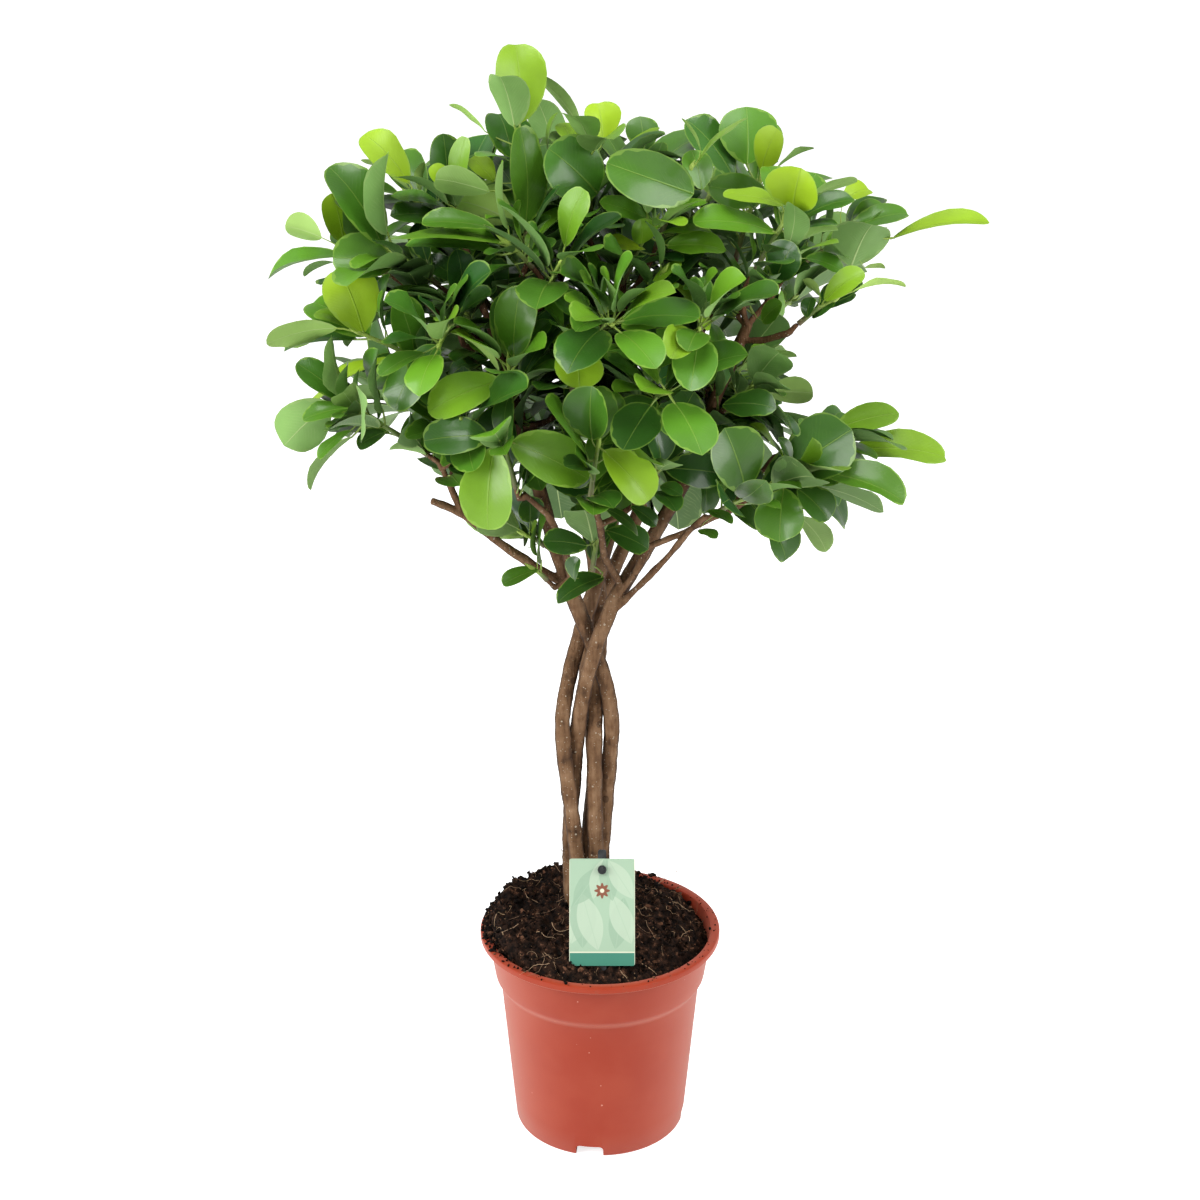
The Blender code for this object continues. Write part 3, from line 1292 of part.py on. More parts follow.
def main():
    """Builds the whole plant."""
    clear_scene()
    plant = new_collection("potted_ficus")
    helpers = new_collection("cutters")
    clay = material("terracotta plastic", (0.52, 0.092, 0.052), 0.45)
    earth = material("potting soil", (0.022, 0.016, 0.012), 0.95)
    bark = material("bark", (0.16, 0.105, 0.06), 0.8)
    green = material("leaf green", (0.055, 0.16, 0.02), 0.35)
    card = material("card", (0.66, 0.80, 0.66), 0.6)
    black = material("black plastic", (0.01, 0.01, 0.01), 0.35)

    routes = braid_routes()
    limbs = limb_routes(routes)
    build_pot(plant, helpers, clay)
    build_soil(plant, helpers, routes, earth)
    build_card(plant, helpers, card)
    build_stake(plant, black)

    space_of = {name: Space() for name in routes}
    wood = {}
    for name, route in routes.items():
        radii = [stem_radius(name, level) + WOOD_CLEARANCE for level in range(len(route))]
        space_of[name].add(*prism(route, [r * 1.15 for r in radii]))
        crown = [place for place in route if place.z > TWIG_LEVEL]
        for limb, limb_radii in limbs[name]:
            space_of[name].add(*prism(limb, [r + WOOD_CLEARANCE for r in limb_radii]))
        wood[name] = [crown] + [limb[1:] for limb, _ in limbs[name]]
    sprigs = [Sprig(plan) for plan in SHOOTS]
    twigs = grow_twigs(sprigs, wood, space_of)
    space = Space()
    for name, route in routes.items():
        stem = build_stem(name, route, limbs[name], twigs[name], plant, bark)
        space.add_mesh(stem.data)
    for sprig in sprigs:
        space.add(*prism(sprig.route, [r + WOOD_CLEARANCE for r in sprig.radii]))
        sprig.pieces.append(space.pieces[-1])
    grow_leaves(sprigs, space)
    for sprig in sprigs:
        build_shoot(sprig, plant, green)


def grow_leaves(sprigs, space):
    """Sets the leaves that the front view shows, then those that follow the rule."""
    draws = random.Random(SEED)
    for sprig in sprigs:
        for row in sprig.plan.leaves:
            place_leaf(sprig, space, sprig.seen_leaf(row, without(space, sprig), draws))
    for number in range(max(sprig.plan.more for sprig in sprigs)):
        for sprig in sprigs:
            if number < sprig.plan.more:
                place_leaf(sprig, space, sprig.ruled_leaf(number, without(space, sprig), draws))


def without(space, sprig):
    """The space as a shoot's own leaves see it: without its own stem and leaves."""
    rest = Space()
    rest.pieces = [piece for piece in space.pieces if piece not in sprig.pieces]
    return rest


def place_leaf(sprig, space, leaf):
    """Takes a leaf, if one was found, into its shoot and into the space."""
    if leaf:
        sprig.leaves.append(leaf)
        space.add(*leaf.solid(TAKEN_THICKNESS))
        sprig.pieces.append(space.pieces[-1])


main()
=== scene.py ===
"""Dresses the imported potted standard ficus: a braided trunk with a leafy crown in a growers' pot.

The shoots, stems, soil, pot and tag of the frame are replaced by finer pieces that keep their
place and form. The leaves are read back from the frame's shoots, and more are grown between them.
"""

from __future__ import annotations

import json
import logging
import random
from collections.abc import Callable, Iterable, Sequence
from dataclasses import dataclass, field
from enum import Enum
from math import acos, atan, cos, exp, pi, radians, sin, sqrt

import bmesh
import bpy
import numpy as np
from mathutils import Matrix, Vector, noise
from mathutils.bvhtree import BVHTree
from mathutils.geometry import interpolate_bezier

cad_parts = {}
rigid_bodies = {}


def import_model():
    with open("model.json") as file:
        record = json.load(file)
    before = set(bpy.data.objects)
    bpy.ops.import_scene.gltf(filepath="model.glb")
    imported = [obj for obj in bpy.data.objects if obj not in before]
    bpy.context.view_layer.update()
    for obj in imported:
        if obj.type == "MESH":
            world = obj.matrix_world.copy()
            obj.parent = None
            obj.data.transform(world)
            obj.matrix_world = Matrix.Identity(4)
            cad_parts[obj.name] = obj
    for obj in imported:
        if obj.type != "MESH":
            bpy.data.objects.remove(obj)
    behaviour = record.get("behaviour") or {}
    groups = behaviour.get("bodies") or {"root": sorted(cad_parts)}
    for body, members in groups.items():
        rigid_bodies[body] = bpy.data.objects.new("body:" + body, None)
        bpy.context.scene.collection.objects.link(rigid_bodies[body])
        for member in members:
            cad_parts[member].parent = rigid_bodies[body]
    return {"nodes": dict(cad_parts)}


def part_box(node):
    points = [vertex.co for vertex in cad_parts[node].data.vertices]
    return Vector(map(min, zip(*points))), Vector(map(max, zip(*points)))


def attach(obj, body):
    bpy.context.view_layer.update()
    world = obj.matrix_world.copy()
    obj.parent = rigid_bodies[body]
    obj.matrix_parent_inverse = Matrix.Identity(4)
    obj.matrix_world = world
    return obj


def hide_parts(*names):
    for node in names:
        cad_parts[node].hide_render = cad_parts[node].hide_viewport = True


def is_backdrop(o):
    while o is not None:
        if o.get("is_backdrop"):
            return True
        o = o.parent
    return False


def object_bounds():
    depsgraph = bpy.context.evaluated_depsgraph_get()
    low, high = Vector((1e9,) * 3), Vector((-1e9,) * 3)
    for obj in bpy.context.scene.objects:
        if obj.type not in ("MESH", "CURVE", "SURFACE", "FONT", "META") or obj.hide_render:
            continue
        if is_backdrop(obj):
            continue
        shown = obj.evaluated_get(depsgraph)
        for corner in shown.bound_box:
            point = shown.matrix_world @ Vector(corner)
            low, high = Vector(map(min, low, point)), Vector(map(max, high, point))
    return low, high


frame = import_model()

logging.basicConfig(level=logging.INFO, format="%(message)s")
log = logging.getLogger("ficus")

MM = 0.001
UP = Vector((0.0, 0.0, 1.0))
ROOT = "root"
Colour = tuple[float, float, float]
Place = tuple[float, float, float]


class Slot(Enum):
    """The record's material slots."""

    POT = "pot"
    SOIL = "soil"
    BARK = "bark"
    LEAF = "leaf"
    CARD = "card"
    STAKE = "stake"


# ---------------------------------------------------------------- the bench


class Bench:
    """Operator steps that the pieces share."""

    @staticmethod
    def clear() -> None:
        """Leaves edit mode and deselects everything."""
        if bpy.context.mode != "OBJECT":
            bpy.ops.object.mode_set(mode="OBJECT")
        bpy.ops.object.select_all(action="DESELECT")

    @staticmethod
    def take(*pieces: bpy.types.Object) -> None:
        """Selects only these pieces, the first of them active."""
        Bench.clear()
        for piece in pieces:
            piece.select_set(True)
        bpy.context.view_layer.objects.active = pieces[0]

    @staticmethod
    def edit(piece: bpy.types.Object) -> None:
        """Opens a piece in edit mode with all of it selected."""
        Bench.take(piece)
        bpy.ops.object.mode_set(mode="EDIT")
        bpy.ops.mesh.select_all(action="SELECT")

    @staticmethod
    def pick(piece: bpy.types.Object, wanted: Callable[[Vector], bool], kind: str = "VERT") -> None:
        """Selects in edit mode what lies where it is wanted.

        Args:
            piece: The piece, which is in edit mode.
            wanted: Tells from a place in the piece whether it is taken.
            kind: VERT, EDGE or FACE, by whose middle the place is read.
        """
        bpy.ops.mesh.select_mode(type=kind)
        bpy.ops.mesh.select_all(action="DESELECT")
        shape = bmesh.from_edit_mesh(piece.data)
        for part in {"VERT": shape.verts, "EDGE": shape.edges, "FACE": shape.faces}[kind]:
            corners = [part] if kind == "VERT" else list(part.verts)
            middle = sum((corner.co for corner in corners), Vector()) / len(corners)
            part.select_set(wanted(middle))
        shape.select_flush_mode()
        bmesh.update_edit_mesh(piece.data)

    @staticmethod
    def apply(piece: bpy.types.Object) -> None:
        """Applies all modifiers of a piece in their order."""
        Bench.take(piece)
        for modifier in list(piece.modifiers):
            bpy.ops.object.modifier_apply(modifier=modifier.name)

    @staticmethod
    def join(name: str, pieces: Sequence[bpy.types.Object]) -> bpy.types.Object:
        """Joins pieces into one with the given name."""
        Bench.take(*pieces)
        if len(pieces) > 1:
            bpy.ops.object.join()
        pieces[0].name = name
        pieces[0].data.name = name
        return pieces[0]

    @staticmethod
    def finish(
        piece: bpy.types.Object,
        slot: Slot,
        replaced: Iterable[str] = (),
        smooth: float | None = radians(40),
    ) -> bpy.types.Object:
        """Puts a finished piece at the origin, and hangs it on the part.

        Args:
            piece: The piece, in its place.
            slot: The record's material slot that the piece belongs to; not used.
            replaced: The frame's nodes that it stands for.
            smooth: The angle up to which its faces are shaded smooth.

        Returns:
            The piece.
        """
        Bench.apply(piece)
        bpy.ops.object.transform_apply(location=True, rotation=True, scale=True)
        if smooth is not None:
            bpy.ops.object.shade_smooth_by_angle(angle=smooth)
        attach(piece, ROOT)
        for node in replaced:
            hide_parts(node)
        triangles = sum(len(face.vertices) - 2 for face in piece.data.polygons)
        log.info("piece %s: %d triangles", piece.name, triangles)
        return piece

    @staticmethod
    def dress(piece: bpy.types.Object, *finishes: bpy.types.Material) -> None:
        """Gives a piece its materials; only where it has others does it lose its faces' parts."""
        if piece.data.materials:
            piece.data.materials.clear()
        for finish in finishes:
            piece.data.materials.append(finish)

    @staticmethod
    def cut(piece: bpy.types.Object, cutters: Sequence[bpy.types.Object]) -> None:
        """Cuts the cutters out of a piece and removes them."""
        for cutter in cutters:
            modifier = piece.modifiers.new("cut", "BOOLEAN")
            modifier.operation = "DIFFERENCE"
            modifier.object = cutter
        Bench.apply(piece)
        for cutter in cutters:
            bpy.data.objects.remove(cutter)

    @staticmethod
    def new_mark(piece: bpy.types.Object, name: str, value: float) -> None:
        """Writes one number on every point of a piece as an attribute."""
        mark = piece.data.attributes.new(name, "FLOAT", "POINT")
        mark.data.foreach_set("value", np.full(len(piece.data.vertices), value, dtype=np.float32))


# ---------------------------------------------------------------- materials


class Wiring:
    """A node tree in the making."""

    def __init__(self, tree: bpy.types.NodeTree) -> None:
        """Starts on an empty tree."""
        self.tree = tree

    def add(self, kind: str, values: dict | None = None, **settings: object) -> bpy.types.Node:
        """Adds a node.

        Args:
            kind: The node's type.
            values: What its inputs are set to or linked from, by name or number.
            settings: The node's own properties.

        Returns:
            The node.
        """
        node = self.tree.nodes.new(kind)
        for key, value in settings.items():
            setattr(node, key, value)
        for key, value in (values or {}).items():
            if isinstance(value, bpy.types.NodeSocket):
                self.tree.links.new(value, node.inputs[key])
            elif value is not None:
                node.inputs[key].default_value = value
        return node

    def sum(self, operation: str, *terms: object) -> bpy.types.NodeSocket:
        """The result of a Math node on numbers or sockets."""
        values = dict(enumerate(terms))
        return self.add("ShaderNodeMath", values, operation=operation).outputs[0]

    def between(self, value: object, low: float, high: float, start: float = 0.0, end: float = 1.0):
        """A value's smooth step from start to end as it goes from low to high."""
        values = {"Value": value, "From Min": low, "From Max": high, "To Min": start, "To Max": end}
        node = self.add("ShaderNodeMapRange", values, interpolation_type="SMOOTHSTEP")
        return node.outputs["Result"]

    def ramp(self, value: object, *stops: tuple[float, Colour]) -> bpy.types.NodeSocket:
        """A colour that passes through the stops as the value rises."""
        node = self.add("ShaderNodeValToRGB", {"Fac": value})
        elements = node.color_ramp.elements
        while len(elements) < len(stops):
            elements.new(0.5)
        for element, (place, colour) in zip(elements, stops):
            element.position = place
            element.color = (*colour, 1.0)
        return node.outputs["Color"]

    def mix(self, share: object, first: object, second: object, blend: str = "MIX"):
        """A blend of two colours, each a socket or three numbers."""
        values = {0: share}
        for number, colour in ((6, first), (7, second)):
            is_socket = isinstance(colour, bpy.types.NodeSocket)
            values[number] = colour if is_socket else (*colour, 1.0)
        return self.add("ShaderNodeMix", values, data_type="RGBA", blend_type=blend).outputs[2]

    def noise(self, scale: float, detail: float = 3.0, vector: object = None, rough: float = 0.5):
        """The value of a noise of so many lumps a metre."""
        place = vector or self.object_place()
        values = {"Vector": place, "Scale": scale, "Detail": detail, "Roughness": rough}
        return self.add("ShaderNodeTexNoise", values).outputs["Fac"]

    def object_place(self) -> bpy.types.NodeSocket:
        """Where a point is on its object."""
        return self.add("ShaderNodeTexCoord").outputs["Object"]

    def stretched(self, scale: Place) -> bpy.types.NodeSocket:
        """Object coordinates, each scaled."""
        return self.add(
            "ShaderNodeMapping", {"Vector": self.object_place(), "Scale": scale}
        ).outputs["Vector"]

    def mark(self, name: str) -> bpy.types.NodeSocket:
        """The value of a mesh attribute."""
        return self.add("ShaderNodeAttribute", attribute_name=name).outputs["Fac"]

    def group(self, group: bpy.types.NodeTree, values: dict | None = None) -> bpy.types.Node:
        """Places a node group."""
        node = self.tree.nodes.new("ShaderNodeGroup")
        node.node_tree = group
        for key, value in (values or {}).items():
            if isinstance(value, bpy.types.NodeSocket):
                self.tree.links.new(value, node.inputs[key])
            else:
                node.inputs[key].default_value = value
        return node

    def bump(self, height: object, strength: float, distance: float) -> bpy.types.NodeSocket:
        """The normal of a surface raised by a height."""
        values = {"Height": height, "Strength": strength, "Distance": distance}
        return self.add("ShaderNodeBump", values).outputs["Normal"]


def new_material(name: str) -> tuple[bpy.types.Material, Wiring, bpy.types.Node]:
    """A material with its Principled shader.

    Args:
        name: The material's name.

    Returns:
        The material, its wiring and the shader's node.
    """
    material = bpy.data.materials.new(name)
    material.use_nodes = True
    wiring = Wiring(material.node_tree)
    return material, wiring, material.node_tree.nodes["Principled BSDF"]


def new_group(name: str, inputs: dict[str, float], outputs: dict[str, str]):
    """An effect that several materials use.

    Args:
        name: The group's name.
        inputs: Its number inputs with their defaults.
        outputs: Its outputs' kinds by name.

    Returns:
        The group, its wiring, its input node and its output node.
    """
    group = bpy.data.node_groups.new(name, "ShaderNodeTree")
    for key, value in inputs.items():
        socket = group.interface.new_socket(key, in_out="INPUT", socket_type="NodeSocketFloat")
        socket.default_value = value
    for key, kind in outputs.items():
        group.interface.new_socket(key, in_out="OUTPUT", socket_type=kind)
    wiring = Wiring(group)
    start = group.nodes.new("NodeGroupInput")
    end = group.nodes.new("NodeGroupOutput")
    return group, wiring, start, end


class Effects:
    """The node groups that the finishes share, each built once."""

    def __init__(self) -> None:
        """Builds the groups."""
        self.veins = self.build_veins()
        self.mottle = self.build_mottle()
        self.specks = self.build_specks()

    @staticmethod
    def build_veins() -> bpy.types.NodeTree:
        """A leaf's midrib, side veins and margin, from the blade's own map."""
        group, wiring, start, end = new_group(
            "leaf_veins",
            {"Vein Count": 15.0, "Slant": 4.0},
            {key: "NodeSocketFloat" for key in ("Rib", "Vein", "Margin", "Height")},
        )
        split = wiring.add("ShaderNodeSeparateXYZ", {0: wiring.add("ShaderNodeUVMap").outputs[0]})
        across = wiring.sum("MULTIPLY", wiring.sum("SUBTRACT", split.outputs[0], 0.5), 2.0)
        along = split.outputs[1]
        off_rib = wiring.sum("ABSOLUTE", across)
        rib_width = wiring.sum("MULTIPLY_ADD", along, -0.034, 0.050)
        rib = wiring.between(wiring.sum("DIVIDE", off_rib, rib_width), 0.25, 1.0, 1.0, 0.0)
        drift = wiring.noise(170.0, 3.0)
        bent = wiring.sum("MULTIPLY_ADD", drift, 3.0, start.outputs["Slant"])
        lean = wiring.sum("MULTIPLY", off_rib, bent)
        count = wiring.sum("MULTIPLY", along, start.outputs["Vein Count"])
        phase = wiring.sum("FRACT", wiring.sum("SUBTRACT", count, lean))
        vein = wiring.sum("ABSOLUTE", wiring.sum("MULTIPLY_ADD", phase, 2.0, -1.0))
        faded = wiring.between(wiring.noise(120.0, 2.0), 0.40, 0.62)
        vein = wiring.sum("MULTIPLY", wiring.between(vein, 0.55, 1.0), faded)
        rise = wiring.sum("MULTIPLY_ADD", along, 2.0, -1.0)
        squares = wiring.sum("ADD", wiring.sum("POWER", off_rib, 2.0), wiring.sum("POWER", rise, 2.0))
        reach = wiring.sum("SQRT", squares)
        margin = wiring.between(reach, 0.972, 0.996)
        raised = wiring.sum("MULTIPLY_ADD", vein, 0.10, rib)
        for key, value in {"Rib": rib, "Vein": vein, "Margin": margin, "Height": raised}.items():
            group.links.new(value, end.inputs[key])
        return group

    @staticmethod
    def build_mottle() -> bpy.types.NodeTree:
        """Uneven tone: broad clouds with finer ones on them."""
        group, wiring, start, end = new_group(
            "mottle", {"Scale": 60.0, "Fine Scale": 600.0}, {"Cloud": "NodeSocketFloat", "Fine": "NodeSocketFloat"}
        )
        place = wiring.object_place()
        for key, source, detail in (("Cloud", "Scale", 3.0), ("Fine", "Fine Scale", 5.0)):
            values = {"Vector": place, "Scale": start.outputs[source], "Detail": detail}
            texture = wiring.add("ShaderNodeTexNoise", values)
            group.links.new(texture.outputs["Fac"], end.inputs[key])
        return group

    @staticmethod
    def build_specks() -> bpy.types.NodeTree:
        """Scattered specks, some larger than others."""
        group, wiring, start, end = new_group(
            "specks", {"Scale": 300.0, "Size": 0.3, "Share": 0.5}, {"Speck": "NodeSocketFloat"}
        )
        values = {"Vector": wiring.object_place(), "Scale": start.outputs["Scale"]}
        cells = wiring.add("ShaderNodeTexVoronoi", values)
        split = wiring.add("ShaderNodeSeparateColor", {0: cells.outputs["Color"]})
        chosen = wiring.sum("LESS_THAN", split.outputs[0], start.outputs["Share"])
        size = wiring.sum("MULTIPLY", start.outputs["Size"], wiring.sum("ADD", split.outputs[1], 0.3))
        near = wiring.sum("LESS_THAN", cells.outputs["Distance"], size)
        group.links.new(wiring.sum("MULTIPLY", chosen, near), end.inputs["Speck"])
        return group


@dataclass(frozen=True)
class BladeFinish:
    """One side of the leaves: its colours from old to new, and its gloss."""

    name: str
    old: Colour
    grown: Colour
    new: Colour
    rib: Colour
    rib_share: float
    vein_share: float
    margin: Colour
    margin_share: float
    roughness: float
    specular: float
    coat: float
    relief: float

    def build(self, effects: Effects) -> bpy.types.Material:
        """The leaf side's material."""
        material, wiring, shader = new_material(self.name)
        veins = wiring.group(effects.veins)
        mottle = wiring.group(effects.mottle, {"Scale": 45.0, "Fine Scale": 380.0})
        tone = wiring.mark("tone")
        colour = wiring.ramp(tone, (0.0, self.old), (0.45, self.grown), (1.0, self.new))
        uneven = wiring.sum("MULTIPLY_ADD", mottle.outputs["Cloud"], 0.55, 0.72)
        shade = wiring.sum("MULTIPLY", uneven, wiring.mark("shade"))
        colour = wiring.add("ShaderNodeHueSaturation", {"Color": colour, "Value": shade}).outputs[0]
        veining = wiring.sum("MULTIPLY", veins.outputs["Vein"], self.vein_share)
        colour = wiring.mix(veining, colour, self.rib)
        ribbing = wiring.sum("MULTIPLY", veins.outputs["Rib"], self.rib_share)
        colour = wiring.mix(ribbing, colour, self.rib)
        edging = wiring.sum("MULTIPLY", veins.outputs["Margin"], self.margin_share)
        colour = wiring.mix(edging, colour, self.margin)
        aged = wiring.sum("MULTIPLY_ADD", tone, 0.16, self.roughness - 0.10)
        gloss = wiring.sum("MULTIPLY_ADD", mottle.outputs["Fine"], 0.16, aged)
        wave = wiring.sum("MULTIPLY_ADD", mottle.outputs["Cloud"], 1.5, veins.outputs["Height"])
        height = wiring.sum("MULTIPLY_ADD", mottle.outputs["Fine"], 0.25, wave)
        links = material.node_tree.links
        links.new(colour, shader.inputs["Base Color"])
        links.new(gloss, shader.inputs["Roughness"])
        links.new(wiring.bump(height, self.relief, 0.0006), shader.inputs["Normal"])
        shader.inputs["Specular IOR Level"].default_value = self.specular
        coating = wiring.between(tone, 0.2, 0.85, self.coat, self.coat * 0.1)
        links.new(coating, shader.inputs["Coat Weight"])
        shader.inputs["Coat Roughness"].default_value = 0.14
        return material


@dataclass(frozen=True)
class GreenStemFinish:
    """The shoots' stems, stalks and buds: green at the tip and brown at the foot."""

    name: str = "green_stem"
    woody: Colour = (0.115, 0.075, 0.035)
    green: Colour = (0.14, 0.22, 0.045)
    fresh: Colour = (0.30, 0.42, 0.07)

    def build(self, effects: Effects) -> bpy.types.Material:
        """The green stems' material."""
        material, wiring, shader = new_material(self.name)
        mottle = wiring.group(effects.mottle, {"Scale": 220.0, "Fine Scale": 1400.0})
        age = wiring.sum("MULTIPLY_ADD", mottle.outputs["Cloud"], 0.3, wiring.mark("age"))
        colour = wiring.ramp(age, (0.12, self.woody), (0.6, self.green), (1.0, self.fresh))
        specks = wiring.group(effects.specks, {"Scale": 520.0, "Size": 0.28, "Share": 0.3})
        colour = wiring.mix(
            wiring.sum("MULTIPLY", specks.outputs["Speck"], 0.4), colour, (0.33, 0.30, 0.17)
        )
        links = material.node_tree.links
        links.new(colour, shader.inputs["Base Color"])
        rough = wiring.sum("MULTIPLY_ADD", mottle.outputs["Fine"], 0.2, 0.42)
        links.new(rough, shader.inputs["Roughness"])
        links.new(wiring.bump(mottle.outputs["Fine"], 0.35, 0.0003), shader.inputs["Normal"])
        return material


@dataclass(frozen=True)
class BarkFinish:
    """The braided stems' bark: grey brown with pale pores, redder on the young twigs, and painted shade where it
    turns away from the eye.
    """

    name: str = "bark"
    dark: Colour = (0.030, 0.014, 0.0065)
    plain: Colour = (0.138, 0.071, 0.033)
    pale: Colour = (0.265, 0.160, 0.089)
    shaded: Colour = (0.024, 0.011, 0.006)
    twig: Colour = (0.140, 0.064, 0.030)
    pore: Colour = (0.46, 0.39, 0.29)

    def build(self, effects: Effects) -> bpy.types.Material:
        """The bark's material."""
        material, wiring, shader = new_material(self.name)
        streaks = wiring.noise(1.0, 5.0, wiring.stretched((420.0, 420.0, 45.0)), 0.62)
        mottle = wiring.group(effects.mottle, {"Scale": 95.0, "Fine Scale": 900.0})
        tone = wiring.sum("MULTIPLY_ADD", mottle.outputs["Cloud"], 0.75, -0.12)
        tone = wiring.sum("MULTIPLY_ADD", streaks, 0.5, tone)
        colour = wiring.ramp(tone, (0.28, self.dark), (0.48, self.plain), (0.78, self.pale))
        height = wiring.add("ShaderNodeSeparateXYZ", {0: wiring.object_place()}).outputs[2]
        young = wiring.between(height, 0.36, 0.46)
        reddish = wiring.mix(0.65, colour, self.twig)
        colour = wiring.mix(young, colour, reddish)
        knots = wiring.group(effects.specks, {"Scale": 62.0, "Size": 0.14, "Share": 0.30})
        colour = wiring.mix(wiring.sum("MULTIPLY", knots.outputs["Speck"], 0.6), colour, self.dark)
        pores = wiring.group(effects.specks, {"Scale": 420.0, "Size": 0.22, "Share": 0.26})
        fine = wiring.group(effects.specks, {"Scale": 860.0, "Size": 0.26, "Share": 0.24})
        both = wiring.sum("MAXIMUM", pores.outputs["Speck"], fine.outputs["Speck"])
        colour = wiring.mix(wiring.sum("MULTIPLY", both, 0.65), colour, self.pore)
        # Painted shade: the bark darkens towards the sides that turn away from the eye.
        turned_away = wiring.add("ShaderNodeLayerWeight", {"Blend": 0.4}).outputs["Facing"]
        edge = wiring.between(turned_away, 0.22, 0.85, 0.0, 0.85)
        colour = wiring.mix(edge, colour, self.shaded)
        rings = wiring.noise(1.0, 3.0, wiring.stretched((60.0, 60.0, 560.0)), 0.6)
        raised = wiring.sum("MULTIPLY_ADD", rings, 0.5, wiring.sum("MULTIPLY", streaks, 1.2))
        raised = wiring.sum("MULTIPLY_ADD", both, 0.5, raised)
        raised = wiring.sum("MULTIPLY_ADD", mottle.outputs["Fine"], 0.4, raised)
        links = material.node_tree.links
        links.new(colour, shader.inputs["Base Color"])
        rough = wiring.sum("MULTIPLY_ADD", mottle.outputs["Fine"], 0.2, 0.62)
        links.new(rough, shader.inputs["Roughness"])
        links.new(wiring.bump(raised, 1.0, 0.0010), shader.inputs["Normal"])
        shader.inputs["Specular IOR Level"].default_value = 0.18
        return material


@dataclass(frozen=True)
class PotFinish:
    """The moulded plastic of the pot: satin, lightly scuffed, with soil dust below the rim and a painted sheen
    where it turns away from the eye.
    """

    name: str = "terracotta_plastic"
    plain: Colour = (0.276, 0.0245, 0.0050)
    pale: Colour = (0.325, 0.046, 0.018)
    painted_sheen: Colour = (0.42, 0.115, 0.075)
    dust: Colour = (0.17, 0.07, 0.042)

    def build(self, effects: Effects) -> bpy.types.Material:
        """The pot's material."""
        material, wiring, shader = new_material(self.name)
        mottle = wiring.group(effects.mottle, {"Scale": 32.0, "Fine Scale": 1500.0})
        cloud = wiring.between(mottle.outputs["Cloud"], 0.35, 0.7)
        colour = wiring.mix(wiring.sum("MULTIPLY", cloud, 0.5), self.plain, self.pale)
        scuffs = wiring.noise(1.0, 6.0, wiring.stretched((900.0, 900.0, 22.0)), 0.7)
        scuffed = wiring.between(scuffs, 0.62, 0.72, 0.0, 0.35)
        colour = wiring.mix(scuffed, colour, self.pale)
        height = wiring.add("ShaderNodeSeparateXYZ", {0: wiring.object_place()}).outputs[2]
        below_rim = wiring.between(height, 0.108, 0.124)
        grime = wiring.between(wiring.noise(260.0, 6.0, None, 0.7), 0.56, 0.72)
        soiled = wiring.sum("MULTIPLY", wiring.sum("MULTIPLY", grime, below_rim), 0.4)
        colour = wiring.mix(soiled, colour, self.dust)
        specks = wiring.group(effects.specks, {"Scale": 150.0, "Size": 0.07, "Share": 0.25})
        colour = wiring.mix(wiring.sum("MULTIPLY", specks.outputs["Speck"], 0.5), colour, (0.75, 0.4, 0.3))
        # Painted sheen: a paler colour towards the sides that turn away from the eye, standing in for reflected
        # light.
        turned_away = wiring.add("ShaderNodeLayerWeight", {"Blend": 0.35}).outputs["Facing"]
        colour = wiring.mix(wiring.between(turned_away, 0.10, 0.75, 0.0, 0.8), colour, self.painted_sheen)
        links = material.node_tree.links
        links.new(colour, shader.inputs["Base Color"])
        gloss = wiring.sum("MULTIPLY_ADD", mottle.outputs["Cloud"], 0.14, 0.33)
        gloss = wiring.sum("MULTIPLY_ADD", soiled, 0.4, gloss)
        links.new(gloss, shader.inputs["Roughness"])
        height = wiring.sum("MULTIPLY_ADD", scuffs, 0.4, mottle.outputs["Fine"])
        links.new(wiring.bump(height, 0.12, 0.0002), shader.inputs["Normal"])
        shader.inputs["Specular IOR Level"].default_value = 0.28
        return material


@dataclass(frozen=True)
class SoilFinish:
    """Damp peat: near black with redder crumbs and pale fibres."""

    name: str = "peat"
    dark: Colour = (0.0034, 0.0018, 0.0012)
    brown: Colour = (0.026, 0.0118, 0.0066)
    red: Colour = (0.150, 0.070, 0.040)

    def build(self, effects: Effects) -> bpy.types.Material:
        """The soil's material."""
        material, wiring, shader = new_material(self.name)
        mottle = wiring.group(effects.mottle, {"Scale": 230.0, "Fine Scale": 1300.0})
        tone = wiring.sum("MULTIPLY_ADD", mottle.outputs["Fine"], 0.5, mottle.outputs["Cloud"])
        tone = wiring.sum("ADD", tone, wiring.mark("shade"))
        colour = wiring.ramp(tone, (0.62, self.dark), (0.86, self.brown), (1.0, self.red))
        specks = wiring.group(effects.specks, {"Scale": 620.0, "Size": 0.25, "Share": 0.12})
        colour = wiring.mix(
            wiring.sum("MULTIPLY", specks.outputs["Speck"], 0.55), colour, (0.25, 0.15, 0.08)
        )
        links = material.node_tree.links
        links.new(colour, shader.inputs["Base Color"])
        links.new(wiring.bump(tone, 1.0, 0.0012), shader.inputs["Normal"])
        rough = wiring.sum("MULTIPLY_ADD", mottle.outputs["Fine"], 0.25, 0.68)
        links.new(rough, shader.inputs["Roughness"])
        shader.inputs["Specular IOR Level"].default_value = 0.1
        return material


